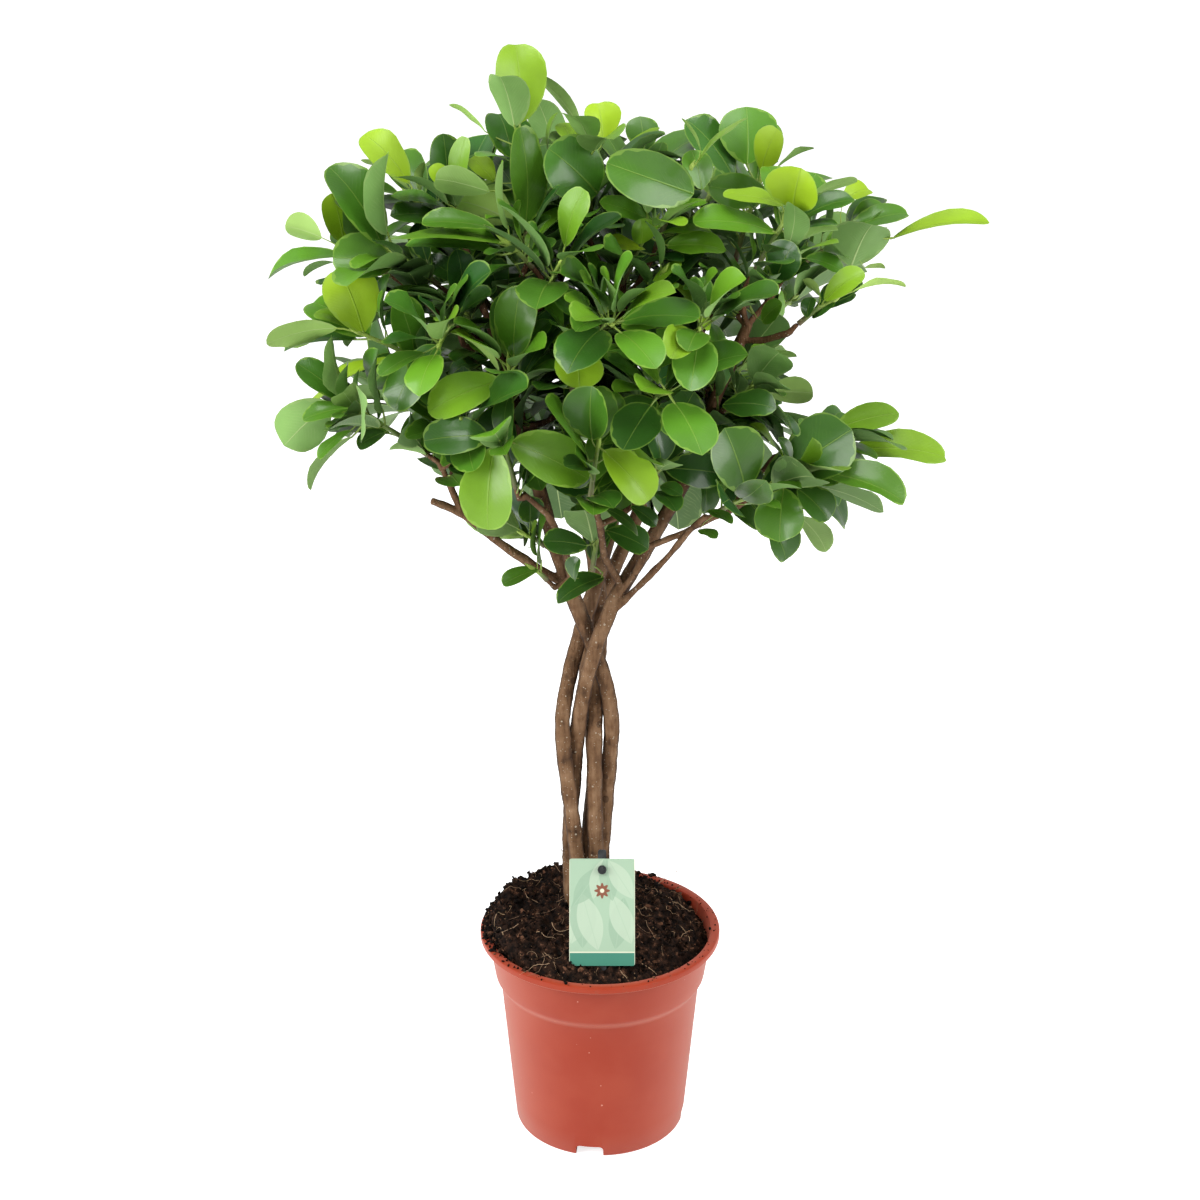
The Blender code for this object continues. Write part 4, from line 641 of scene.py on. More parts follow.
@dataclass(frozen=True)
class FibreFinish:
    """Dry root fibres, from brown to straw."""

    name: str = "root_fibre"
    brown: Colour = (0.10, 0.048, 0.024)
    straw: Colour = (0.42, 0.27, 0.15)

    def build(self, effects: Effects) -> bpy.types.Material:
        """The fibres' material."""
        material, wiring, shader = new_material(self.name)
        mottle = wiring.group(effects.mottle, {"Scale": 300.0, "Fine Scale": 2000.0})
        tone = wiring.sum("MULTIPLY_ADD", mottle.outputs["Cloud"], 0.4, wiring.mark("shade"))
        colour = wiring.ramp(tone, (0.2, self.brown), (0.95, self.straw))
        links = material.node_tree.links
        links.new(colour, shader.inputs["Base Color"])
        rough = wiring.sum("MULTIPLY_ADD", mottle.outputs["Fine"], 0.3, 0.55)
        links.new(rough, shader.inputs["Roughness"])
        return material


@dataclass(frozen=True)
class CardFinish:
    """The printed card: mint with a spray of plain leaves, a dark foot band and a cream line."""

    name: str = "printed_card"
    mint: Colour = (0.300, 0.420, 0.300)
    pale: Colour = (0.395, 0.490, 0.370)
    leafy: Colour = (0.240, 0.355, 0.250)
    band: Colour = (0.040, 0.190, 0.130)
    cream: Colour = (0.58, 0.60, 0.45)
    bronze: Colour = (0.19, 0.065, 0.035)
    shape: float = 37 / 60
    leaves: tuple[tuple[float, float, float, float, bool], ...] = (
        (0.02, 0.20, 1.25, 0.52, True), (0.20, 0.16, 1.55, 0.60, False),
        (0.44, 0.14, 1.85, 0.56, True), (0.70, 0.15, 1.40, 0.50, False),
        (0.95, 0.20, 1.95, 0.50, True), (0.06, 0.56, 0.95, 0.46, False),
        (0.36, 0.62, 1.30, 0.40, True), (0.66, 0.60, 1.75, 0.42, False),
        (0.98, 0.62, 2.15, 0.44, True),
    )

    def build(self, effects: Effects) -> bpy.types.Material:
        """The card's material, laid out on the card's own map."""
        material, wiring, shader = new_material(self.name)
        uv = wiring.add("ShaderNodeUVMap").outputs[0]
        split = wiring.add("ShaderNodeSeparateXYZ", {0: uv})
        across, up = split.outputs[0], split.outputs[1]
        petal = self.petal_group()
        colour = self.mint
        for x, y, turn, length, is_pale in self.leaves:
            values = {"Across": across, "Up": up, "X": x, "Y": y, "Turn": turn, "Length": length}
            placed = wiring.group(petal, values)
            tint = self.pale if is_pale else self.leafy
            share = wiring.sum("MULTIPLY", placed.outputs["Leaf"], 0.75)
            colour = wiring.mix(share, colour, tint)
            colour = wiring.mix(wiring.sum("MULTIPLY", placed.outputs["Rib"], 0.6), colour, self.mint)
        colour = self.rosette(wiring, across, up, colour)
        colour = wiring.mix(wiring.between(up, 0.130, 0.134, 1.0, 0.0), colour, self.cream)
        colour = wiring.mix(wiring.between(up, 0.118, 0.122, 1.0, 0.0), colour, self.band)
        edge = wiring.sum("ABSOLUTE", wiring.sum("SUBTRACT", across, 0.5))
        colour = wiring.mix(wiring.between(edge, 0.490, 0.495), colour, self.cream)
        fibre = wiring.group(effects.mottle, {"Scale": 90.0, "Fine Scale": 1500.0})
        links = material.node_tree.links
        links.new(colour, shader.inputs["Base Color"])
        gloss = wiring.sum("MULTIPLY_ADD", fibre.outputs["Cloud"], 0.12, 0.36)
        links.new(gloss, shader.inputs["Roughness"])
        links.new(wiring.bump(fibre.outputs["Fine"], 0.05, 0.0001), shader.inputs["Normal"])
        return material

    def petal_group(self) -> bpy.types.NodeTree:
        """A plain leaf shape with a midrib, placed and turned on the card."""
        inputs = {"Across": 0.0, "Up": 0.0, "X": 0.5, "Y": 0.5, "Turn": 0.0, "Length": 0.4}
        kinds = {"Leaf": "NodeSocketFloat", "Rib": "NodeSocketFloat"}
        group, wiring, start, end = new_group("card_leaf", inputs, kinds)
        given = start.outputs
        x = wiring.sum("MULTIPLY", wiring.sum("SUBTRACT", given["Across"], given["X"]), self.shape)
        y = wiring.sum("SUBTRACT", given["Up"], given["Y"])
        cosine = wiring.sum("COSINE", given["Turn"])
        sine = wiring.sum("SINE", given["Turn"])
        along = wiring.sum("MULTIPLY_ADD", x, cosine, wiring.sum("MULTIPLY", y, sine))
        off = wiring.sum("SUBTRACT", wiring.sum("MULTIPLY", y, cosine), wiring.sum("MULTIPLY", x, sine))
        share = wiring.sum("DIVIDE", along, given["Length"])
        rest = wiring.sum("SUBTRACT", 1.0, share)
        swell = wiring.sum("MULTIPLY", wiring.sum("MAXIMUM", share, 0.0), wiring.sum("MAXIMUM", rest, 0.0))
        half = wiring.sum("MULTIPLY", wiring.sum("MULTIPLY", swell, 0.85), given["Length"])
        room = wiring.sum("SUBTRACT", half, wiring.sum("ABSOLUTE", off))
        leaf = wiring.between(room, 0.0, 0.006)
        rib = wiring.between(wiring.sum("ABSOLUTE", off), 0.002, 0.005, 1.0, 0.0)
        group.links.new(leaf, end.inputs["Leaf"])
        group.links.new(wiring.sum("MULTIPLY", rib, leaf), end.inputs["Rib"])
        return group

    def rosette(self, wiring: Wiring, across: object, up: object, colour: object) -> object:
        """A plain eight-petalled flower, printed small in the upper half."""
        x = wiring.sum("MULTIPLY", wiring.sum("SUBTRACT", across, 0.5), self.shape)
        y = wiring.sum("SUBTRACT", up, 0.70)
        reach = wiring.sum("SQRT", wiring.sum("MULTIPLY_ADD", x, x, wiring.sum("MULTIPLY", y, y)))
        turn = wiring.sum("MULTIPLY", wiring.sum("ARCTAN2", y, x), 8.0)
        petals = wiring.sum("MULTIPLY_ADD", wiring.sum("COSINE", turn), 0.014, 0.062)
        inside = wiring.between(wiring.sum("SUBTRACT", petals, reach), 0.0, 0.004)
        colour = wiring.mix(inside, colour, self.bronze)
        heart = wiring.between(reach, 0.018, 0.022, 1.0, 0.0)
        return wiring.mix(heart, colour, self.cream)


@dataclass(frozen=True)
class PlasticFinish:
    """The black plastic of the stake and its button."""

    name: str = "black_plastic"
    black: Colour = (0.012, 0.014, 0.015)
    worn: Colour = (0.035, 0.038, 0.040)

    def build(self, effects: Effects) -> bpy.types.Material:
        """The stake's material."""
        material, wiring, shader = new_material(self.name)
        mottle = wiring.group(effects.mottle, {"Scale": 260.0, "Fine Scale": 2200.0})
        colour = wiring.mix(wiring.between(mottle.outputs["Cloud"], 0.4, 0.7), self.black, self.worn)
        links = material.node_tree.links
        links.new(colour, shader.inputs["Base Color"])
        gloss = wiring.sum("MULTIPLY_ADD", mottle.outputs["Fine"], 0.2, 0.30)
        links.new(gloss, shader.inputs["Roughness"])
        links.new(wiring.bump(mottle.outputs["Fine"], 0.1, 0.0001), shader.inputs["Normal"])
        return material


LEAF_UPPER = BladeFinish(
    name="leaf_upper",
    old=(0.019, 0.084, 0.012),
    grown=(0.097, 0.255, 0.012),
    new=(0.300, 0.470, 0.012),
    rib=(0.30, 0.46, 0.07),
    rib_share=0.32,
    vein_share=0.03,
    margin=(0.26, 0.42, 0.06),
    margin_share=0.42,
    roughness=0.33,
    specular=0.36,
    coat=0.22,
    relief=0.5,
)
LEAF_UNDER = BladeFinish(
    name="leaf_under",
    old=(0.090, 0.185, 0.050),
    grown=(0.205, 0.375, 0.098),
    new=(0.400, 0.580, 0.125),
    rib=(0.42, 0.54, 0.22),
    rib_share=0.7,
    vein_share=0.12,
    margin=(0.34, 0.46, 0.16),
    margin_share=0.3,
    roughness=0.52,
    specular=0.4,
    coat=0.0,
    relief=0.4,
)


# ---------------------------------------------------------------- the eye


@dataclass(frozen=True)
class Eye:
    """Where the photograph was taken from, for a picture of 1200 by 1200."""

    distance: float = 1.100
    height: float = 0.756
    pitch: float = radians(21.2)
    focal: float = 2141.0
    middle: float = 600.0
    sensor: float = 36.0

    @property
    def place(self) -> Vector:
        """The eye's own place."""
        return Vector((0.0, -self.distance, self.height))

    def spot(self, across: float, down: float, near: float) -> Vector:
        """The point seen at (across, down), near mm in front of the axis."""
        slope = (self.middle - down) / self.focal
        side = (across - self.middle) / self.focal
        ahead = cos(self.pitch) + slope * sin(self.pitch)
        rise = slope * cos(self.pitch) - sin(self.pitch)
        reach = (self.distance - near * MM) / ahead
        return Vector((side * reach, -near * MM, self.height + rise * reach))

    def seen(self, point: Vector) -> tuple[float, float]:
        """Where the picture shows a point, as (across, down)."""
        ahead = point.y + self.distance
        rise = point.z - self.height
        depth = ahead * cos(self.pitch) - rise * sin(self.pitch)
        lift = ahead * sin(self.pitch) + rise * cos(self.pitch)
        scale = self.focal / depth
        return self.middle + point.x * scale, self.middle - lift * scale

    def build(self) -> bpy.types.Object:
        """The camera."""
        camera = bpy.data.cameras.new("eye")
        camera.sensor_width = self.sensor
        camera.lens = self.focal * self.sensor / (2 * self.middle)
        camera.clip_start = 0.05
        eye = bpy.data.objects.new("eye", camera)
        bpy.context.scene.collection.objects.link(eye)
        eye.location = self.place
        eye.rotation_euler = (pi / 2 - self.pitch, 0.0, 0.0)
        bpy.context.scene.camera = eye
        return eye


# ---------------------------------------------------------------- patterns that repeat


@dataclass
class Pattern:
    """A small shape that is modelled once and copied onto many places."""

    model: bpy.types.Object
    points: np.ndarray = field(init=False)

    def __post_init__(self) -> None:
        """Keeps the model's points."""
        points = np.empty(len(self.model.data.vertices) * 3, dtype=np.float32)
        self.model.data.vertices.foreach_get("co", points)
        self.points = points.reshape(-1, 3).astype(float)

    def copy(self, points: np.ndarray, **marks: object) -> bpy.types.Object:
        """A copy of the model with its own mesh, its points moved.

        Args:
            points: Where the points go.
            marks: Values for attributes, one for the whole copy or one a point.

        Returns:
            The copy.
        """
        piece = self.model.copy()
        piece.data = self.model.data.copy()
        piece.data.vertices.foreach_set("co", np.ascontiguousarray(points, dtype=np.float32).ravel())
        for name, value in marks.items():
            mark = piece.data.attributes.new(name, "FLOAT", "POINT")
            filled = np.broadcast_to(np.asarray(value, dtype=np.float32), (len(points),))
            mark.data.foreach_set("value", np.ascontiguousarray(filled))
        bpy.context.scene.collection.objects.link(piece)
        return piece

    def discard(self) -> None:
        """Removes the model once the copies are made."""
        bpy.data.objects.remove(self.model)


def rod_pattern(name: str, sides: int, steps: int) -> Pattern:
    """A closed rod along z from 0 to 1, of radius 1, to be laid along routes."""
    Bench.clear()
    bpy.ops.mesh.primitive_circle_add(vertices=sides, radius=1.0, fill_type="NGON")
    rod = bpy.context.object
    rod.name = name
    Bench.edit(rod)
    for _ in range(steps):
        bpy.ops.mesh.extrude_region_move(TRANSFORM_OT_translate={"value": (0, 0, 1 / steps)})
    bpy.ops.mesh.select_all(action="SELECT")
    bpy.ops.mesh.normals_make_consistent(inside=False)
    Bench.clear()
    return Pattern(rod)


def blade_pattern(cells: int = 6) -> Pattern:
    """A leaf blade as a closed round pillow: x across, y along, z 1 above and -1 below.

    Args:
        cells: The faces across each of its two sides.

    Returns:
        The pattern, with its upper and under faces in the first and second material.
    """
    Bench.clear()
    bpy.ops.mesh.primitive_grid_add(x_subdivisions=cells, y_subdivisions=cells, size=2.0)
    blade = bpy.context.object
    blade.name = "leaf_blade"
    inner = 1.0 - 0.5 / cells
    Bench.edit(blade)
    Bench.pick(blade, lambda p: max(abs(p.x), abs(p.y)) > inner)
    bpy.ops.transform.tosphere(value=1.0)
    rim = max(v.co.length for v in bmesh.from_edit_mesh(blade.data).verts)
    bpy.ops.transform.resize(value=(1 / rim, 1 / rim, 1.0), center_override=(0, 0, 0))
    Bench.pick(blade, lambda p: p.length < inner)
    bpy.ops.mesh.vertices_smooth(factor=0.5, repeat=24)
    bpy.ops.mesh.select_all(action="SELECT")
    bpy.ops.mesh.duplicate()
    bpy.ops.mesh.flip_normals()
    bpy.ops.mesh.select_less()
    Bench.clear()
    return close_blade(blade)


def close_blade(blade: bpy.types.Object) -> Pattern:
    """Parts the two sides of a flat double blade, joined at the rim, and maps them."""
    shape = bmesh.new()
    shape.from_mesh(blade.data)
    shape.normal_update()
    for face in shape.faces:
        face.material_index = 0 if face.normal.z > 0 else 1
    for point in shape.verts:
        if point.co.length < 0.999:
            point.co.z = 1.0 if point.link_faces[0].material_index == 0 else -1.0
    bmesh.ops.remove_doubles(shape, verts=shape.verts, dist=1e-4)
    layer = shape.loops.layers.uv.new("blade")
    for face in shape.faces:
        for corner in face.loops:
            corner[layer].uv = (corner.vert.co.x / 2 + 0.5, corner.vert.co.y / 2 + 0.5)
    shape.to_mesh(blade.data)
    shape.free()
    return Pattern(blade)


def lay_rod(rod: Pattern, route: Sequence[Vector], radii: Sequence[float]) -> np.ndarray:
    """Where the points of a rod go when it is laid along a route.

    Args:
        rod: A rod pattern.
        route: The points of its middle line.
        radii: Its radius at each of them.

    Returns:
        The points of the laid rod.
    """
    line = np.array([tuple(point) for point in route])
    steps = np.linalg.norm(np.diff(line, axis=0), axis=1)
    reach = np.concatenate([[0.0], np.cumsum(steps)])
    share = rod.points[:, 2] * reach[-1]
    middle = np.stack([np.interp(share, reach, line[:, i]) for i in range(3)], axis=1)
    radius = np.interp(share, reach, radii)
    ahead = np.gradient(line, reach, axis=0)
    along = np.stack([np.interp(share, reach, ahead[:, i]) for i in range(3)], axis=1)
    along /= np.linalg.norm(along, axis=1, keepdims=True)
    chord = line[-1] - line[0]
    guide = np.eye(3)[np.argmin(np.abs(chord))]
    side = np.cross(along, guide)
    side /= np.linalg.norm(side, axis=1, keepdims=True)
    other = np.cross(along, side)
    x, y = rod.points[:, :1], rod.points[:, 1:2]
    return middle + (side * x - other * y) * radius[:, None]


# ---------------------------------------------------------------- leaves


@dataclass
class Leaf:
    """One leaf: where it leaves its stem, its blade's ends and upper side, and its kind."""

    root: Vector
    base: Vector
    tip: Vector
    normal: Vector
    width: float
    tone: float
    shade: float = 1.0
    arch: float = 0.07
    skew: float = 1.25
    cup: float = 0.10
    wave: float = 0.0
    twist: float = 0.0
    curl: float = 0.0
    fold: float = 0.0
    point: float = 0.0
    thickness: float = 0.00045

    @property
    def length(self) -> float:
        """The length of the blade."""
        return (self.tip - self.base).length

    def vary(self, draws: random.Random) -> None:
        """Gives the leaf a form of its own, rounder where it is young."""
        self.shade = 1.0 + draws.uniform(-0.32, 0.16) * (1.0 - 0.6 * self.tone)
        # Darker low in the crown, by the blade's height alone.
        self.shade *= 1.0 - 0.28 * min(max((0.47 - self.base.z) / 0.09, 0.0), 1.0)
        self.skew = draws.uniform(1.20, 1.48) + 0.4 * max(self.tone - 0.5, 0)
        self.cup = draws.uniform(-0.12, 0.20)
        self.wave = draws.uniform(0.0, 0.034)
        self.twist = draws.uniform(-0.26, 0.26)
        self.curl = draws.uniform(-0.11, 0.05)
        self.fold = draws.uniform(0.05, 0.36)
        self.point = draws.uniform(-0.10, 0.12)

    def middle(self, share: float) -> Vector:
        """The point of the midrib at a share of the blade's length."""
        along = self.tip - self.base
        rise = self.arch * along.length * 4 * share * (1 - share)
        return self.base + along * share + self.normal * rise

    def surface(self, points: np.ndarray) -> np.ndarray:
        """Where the points of the blade's pattern go.

        Args:
            points: The pattern's points, on a disc of radius 1 with z the side.

        Returns:
            The points of this blade.
        """
        along = np.array(self.tip - self.base)
        length = np.linalg.norm(along)
        ahead = along / length
        up = np.array(self.normal)
        side = np.cross(ahead, up)
        across, up_disc, face = points[:, 0], points[:, 1], points[:, 2]
        share = np.clip((up_disc + 1) / 2, 0, 1) ** (1 / self.skew)
        share *= 1 - self.point * np.abs(across) * np.clip(up_disc, 0, 1) ** 4
        slope = self.arch * 4 * (1 - 2 * share)
        steep = np.sqrt(1 + slope * slope)
        local_up = (up[None] - ahead[None] * slope[:, None]) / steep[:, None]
        out = across * self.width / 2
        rise = self.cup * out * across + self.fold * np.abs(out)
        flutter = across ** 2 + 0.5 * across * np.abs(across)
        rise += self.wave * length * np.sin(share * 9.0 + self.skew * 40) * flutter
        rise += self.twist * out * (share - 0.4)
        rise += self.curl * length * np.clip(share - 0.6, 0, 1) ** 2 * 4
        reach = np.clip(across ** 2 + up_disc ** 2, 0, 1)
        rise += face * self.thickness / 2 * (1 - reach ** 2)
        bend = self.arch * length * 4 * share * (1 - share)
        return (
            np.array(self.base)[None]
            + ahead[None] * (share * length)[:, None]
            + up[None] * bend[:, None]
            + side[None] * out[:, None]
            + local_up * rise[:, None]
        )

    def strip(self) -> tuple[list[Vector], list[tuple[int, ...]]]:
        """The blade as a few flat faces, to test its way with."""
        ahead = (self.tip - self.base).normalized()
        side = ahead.cross(self.normal)
        points = [self.base]
        for share, width in ((0.15, 0.6), (0.5, 1.02), (0.85, 0.8)):
            middle = self.middle(share)
            points += [middle - side * self.width / 2 * width, middle + side * self.width / 2 * width]
        points.append(self.tip)
        faces = [(0, 1, 2), (1, 3, 4, 2), (3, 5, 6, 4), (5, 7, 6)]
        return points, faces


@dataclass
class Shoot:
    """A green shoot of the crown: its node's name, its stem's ends and its leaves."""

    name: str
    foot: Vector
    tip: Vector
    leaves: list[Leaf]
    bow: float = 0.05
    foot_radius: float = 0.0016
    tip_radius: float = 0.00115

    def route(self, count: int = 9) -> list[Vector]:
        """Points along the stem's middle line."""
        rise = UP * self.bow * (self.tip - self.foot).length
        bent = self.foot.lerp(self.tip, 0.5) + rise
        first = interpolate_bezier(
            self.foot, self.foot + (bent - self.foot) / 3, bent - (self.tip - self.foot) / 6, bent, count
        )
        second = interpolate_bezier(
            bent, bent + (self.tip - self.foot) / 6, self.tip - (self.tip - bent) / 3, self.tip, count
        )
        return [*first, *second[1:]]


class ShootReader:
    """Reads the leaves and the stem back from the mesh of a shoot's node."""

    THIN = (0.00060, 0.00090)
    OLD_THICKNESS = 0.00085
    TONE_STEP = 0.0002
    LOW, HIGH = 0.42, 0.94
    LOW_WIDTH = 1.02
    ARCH = 0.07
    STALK_HALF = (0.0006, 0.0005)

    def __init__(self, name: str, mesh: bpy.types.Mesh) -> None:
        """Takes a merged copy of the node's mesh."""
        self.name = name
        self.shape = bmesh.new()
        self.shape.from_mesh(mesh)
        bmesh.ops.remove_doubles(self.shape, verts=self.shape.verts[:], dist=2e-6)

    def read(self) -> Shoot:
        """The shoot with its leaves."""
        used: set[bmesh.types.BMVert] = set()
        found = []
        for edges in self.blades():
            leaf, corners = self.leaf_of(edges)
            far = {
                edge.other_vert(corner)
                for corner in corners
                for edge in corner.link_edges
            } - corners
            used |= corners
            found.append((leaf, far))
        stem = [vertex for vertex in self.shape.verts if vertex not in used]
        foot, tip = self.stem_ends([vertex.co for vertex in stem])
        shoot = Shoot(self.name, foot, tip, [])
        line = shoot.route()
        for leaf, far in found:
            outer = [vertex.co for vertex in far - used]
            place = sum(outer, Vector()) / len(outer) if outer else leaf.base
            leaf.root = min(line, key=lambda point: (point - place).length)
            leaf.root = closest(line, place)
            shoot.leaves.append(leaf)
        self.shape.free()
        return shoot

    def blades(self) -> list[list[bmesh.types.BMEdge]]:
        """The blades' edges through their thickness, four to a blade."""
        low, high = self.THIN
        thin = [edge for edge in self.shape.edges if low <= edge.calc_length() <= high]
        at: dict[bmesh.types.BMVert, list[bmesh.types.BMEdge]] = {}
        for edge in thin:
            for corner in edge.verts:
                at.setdefault(corner, []).append(edge)
        linked = {edge: set() for edge in thin}
        for edge in thin:
            first, second = edge.verts
            reached = {other.other_vert(second) for other in second.link_edges}
            for link in first.link_edges:
                corner = link.other_vert(first)
                for other in at.get(corner, ()):
                    far = other.other_vert(corner)
                    alike = abs(other.calc_length() - edge.calc_length()) < 3e-6
                    if other is not edge and far in reached and far is not first and alike:
                        if corner is not second:
                            linked[edge].add(other)
                            linked[other].add(edge)
        groups = []
        seen: set[bmesh.types.BMEdge] = set()
        for edge in thin:
            if edge in seen:
                continue
            group, waiting = [], [edge]
            seen.add(edge)
            while waiting:
                here = waiting.pop()
                group.append(here)
                for other in linked[here] - seen:
                    seen.add(other)
                    waiting.append(other)
            if len(group) == 4:
                groups.append(group)
        return groups

    def leaf_of(self, edges: list) -> tuple[Leaf, set]:
        """A leaf from the four edges through its blade, and the corners that are its own."""
        middles = [(edge.verts[0].co + edge.verts[1].co) / 2 for edge in edges]
        pairs = [((0, 1), (2, 3)), ((0, 2), (1, 3)), ((0, 3), (1, 2))]
        joined = {frozenset(c.index for c in edge.verts) for edge in self.shape.edges}

        def spread(pairing: tuple) -> float:
            """How far from parallel the two sides across the blade are."""
            (a, b), (c, d) = pairing
            first, second = middles[b] - middles[a], middles[d] - middles[c]
            across = abs(first.normalized().dot(second.normalized()))
            centre = (middles[a] + middles[b] - middles[c] - middles[d]) / 2
            square = abs(first.normalized().dot(centre.normalized()))
            return square - across

        (a, b), (c, d) = min(pairs, key=spread)
        if (middles[a] - middles[b]).length < (middles[c] - middles[d]).length:
            (a, b), (c, d) = (c, d), (a, b)
        low, high = (middles[a] + middles[b]) / 2, (middles[c] + middles[d]) / 2
        side = (middles[a] - middles[b]).normalized()
        step = high - low
        ahead = (step - side * step.dot(side)).normalized()
        up_low = (edges[a].verts[0].co - edges[a].verts[1].co).normalized()
        up_high = (edges[c].verts[0].co - edges[c].verts[1].co).normalized()
        if up_low.dot(up_high) < 0:
            up_high = -up_high
        if (up_high - up_low).dot(ahead) < 0:
            up_low = -up_low
        square = (up_low - ahead * up_low.dot(ahead)).normalized()
        rise_low = self.ARCH * 4 * self.LOW * (1 - self.LOW)
        rise_high = self.ARCH * 4 * self.HIGH * (1 - self.HIGH)
        drop = atan((rise_low - rise_high) / (self.HIGH - self.LOW))
        length = step.length / sqrt((self.HIGH - self.LOW) ** 2 + (rise_low - rise_high) ** 2)
        along = (ahead * cos(drop) + square * sin(drop)) * length
        normal = (square * cos(drop) - ahead * sin(drop)).normalized()
        base = low - along * self.LOW - normal * rise_low * length
        thickness = sum(edge.calc_length() for edge in edges) / len(edges)
        tone = min(max((self.OLD_THICKNESS - thickness) / self.TONE_STEP, 0.0), 1.0)
        width = (middles[a] - middles[b]).length / self.LOW_WIDTH
        corners = {corner for edge in edges for corner in edge.verts}
        reach = sqrt(sum(half * half for half in self.STALK_HALF)) + 5e-5
        corners |= {c for c in self.shape.verts if (c.co - base).length < reach}
        return Leaf(base.copy(), base, base + along, normal, width, tone), corners

    def stem_ends(self, points: list[Vector]) -> tuple[Vector, Vector]:
        """The stem's foot and tip, from the corners of its two ends."""
        cloud = np.array([tuple(point) for point in points])
        far = cloud[np.argmax(np.linalg.norm(cloud - cloud.mean(axis=0), axis=1))]
        other = cloud[np.argmax(np.linalg.norm(cloud - far, axis=1))]
        far = cloud[np.argmax(np.linalg.norm(cloud - other, axis=1))]
        ends = []
        for end, opposite in ((far, other), (other, far)):
            chord = end - opposite
            slope = chord / np.linalg.norm(chord) - np.array((0, 0, 4 * 0.05))
            nearness = cloud @ (slope / np.linalg.norm(slope))
            cap = cloud[np.argsort(-nearness)[:4]]
            centre = cap.mean(axis=0)
            ends.append((np.linalg.norm(cap - centre, axis=1).mean(), Vector(centre)))
        ends.sort(key=lambda item: -item[0])
        return ends[0][1], ends[1][1]


def closest(line: Sequence[Vector], place: Vector) -> Vector:
    """The point of a line of points that lies nearest to a place."""
    best, distance = line[0], 1e9
    for start, end in zip(line, line[1:]):
        step = end - start
        share = min(max((place - start).dot(step) / step.length_squared, 0.0), 1.0)
        point = start.lerp(end, share)
        if (point - place).length < distance:
            best, distance = point, (point - place).length
    return best


class Room:
    """What stands in the crown so far, to keep new leaves clear of it."""

    def __init__(self) -> None:
        """Starts empty."""
        self.lows: list[tuple] = []
        self.highs: list[tuple] = []
        self.trees: list[BVHTree] = []
        self.points: list[Vector] = []
        self.faces: list[tuple[int, ...]] = []

    def add(self, points: Sequence[Vector], faces: Sequence[tuple[int, ...]]) -> None:
        """Takes in a piece."""
        self.lows.append(tuple(min(p[i] for p in points) for i in range(3)))
        self.highs.append(tuple(max(p[i] for p in points) for i in range(3)))
        self.trees.append(BVHTree.FromPolygons(points, faces))
        start = len(self.points)
        self.points += points
        self.faces += [tuple(corner + start for corner in face) for face in faces]

    def whole(self) -> BVHTree:
        """Everything taken in so far, as one tree."""
        return BVHTree.FromPolygons(self.points, self.faces)

    def clear_of(self, points: Sequence[Vector], faces: Sequence[tuple[int, ...]]) -> bool:
        """Whether a new piece would cross none of those taken in."""
        low = np.array([min(p[i] for p in points) for i in range(3)])
        high = np.array([max(p[i] for p in points) for i in range(3)])
        near = (np.array(self.lows) <= high).all(axis=1) & (np.array(self.highs) >= low).all(axis=1)
        tree = BVHTree.FromPolygons(points, faces)
        return not any(tree.overlap(self.trees[i]) for i in np.nonzero(near)[0])


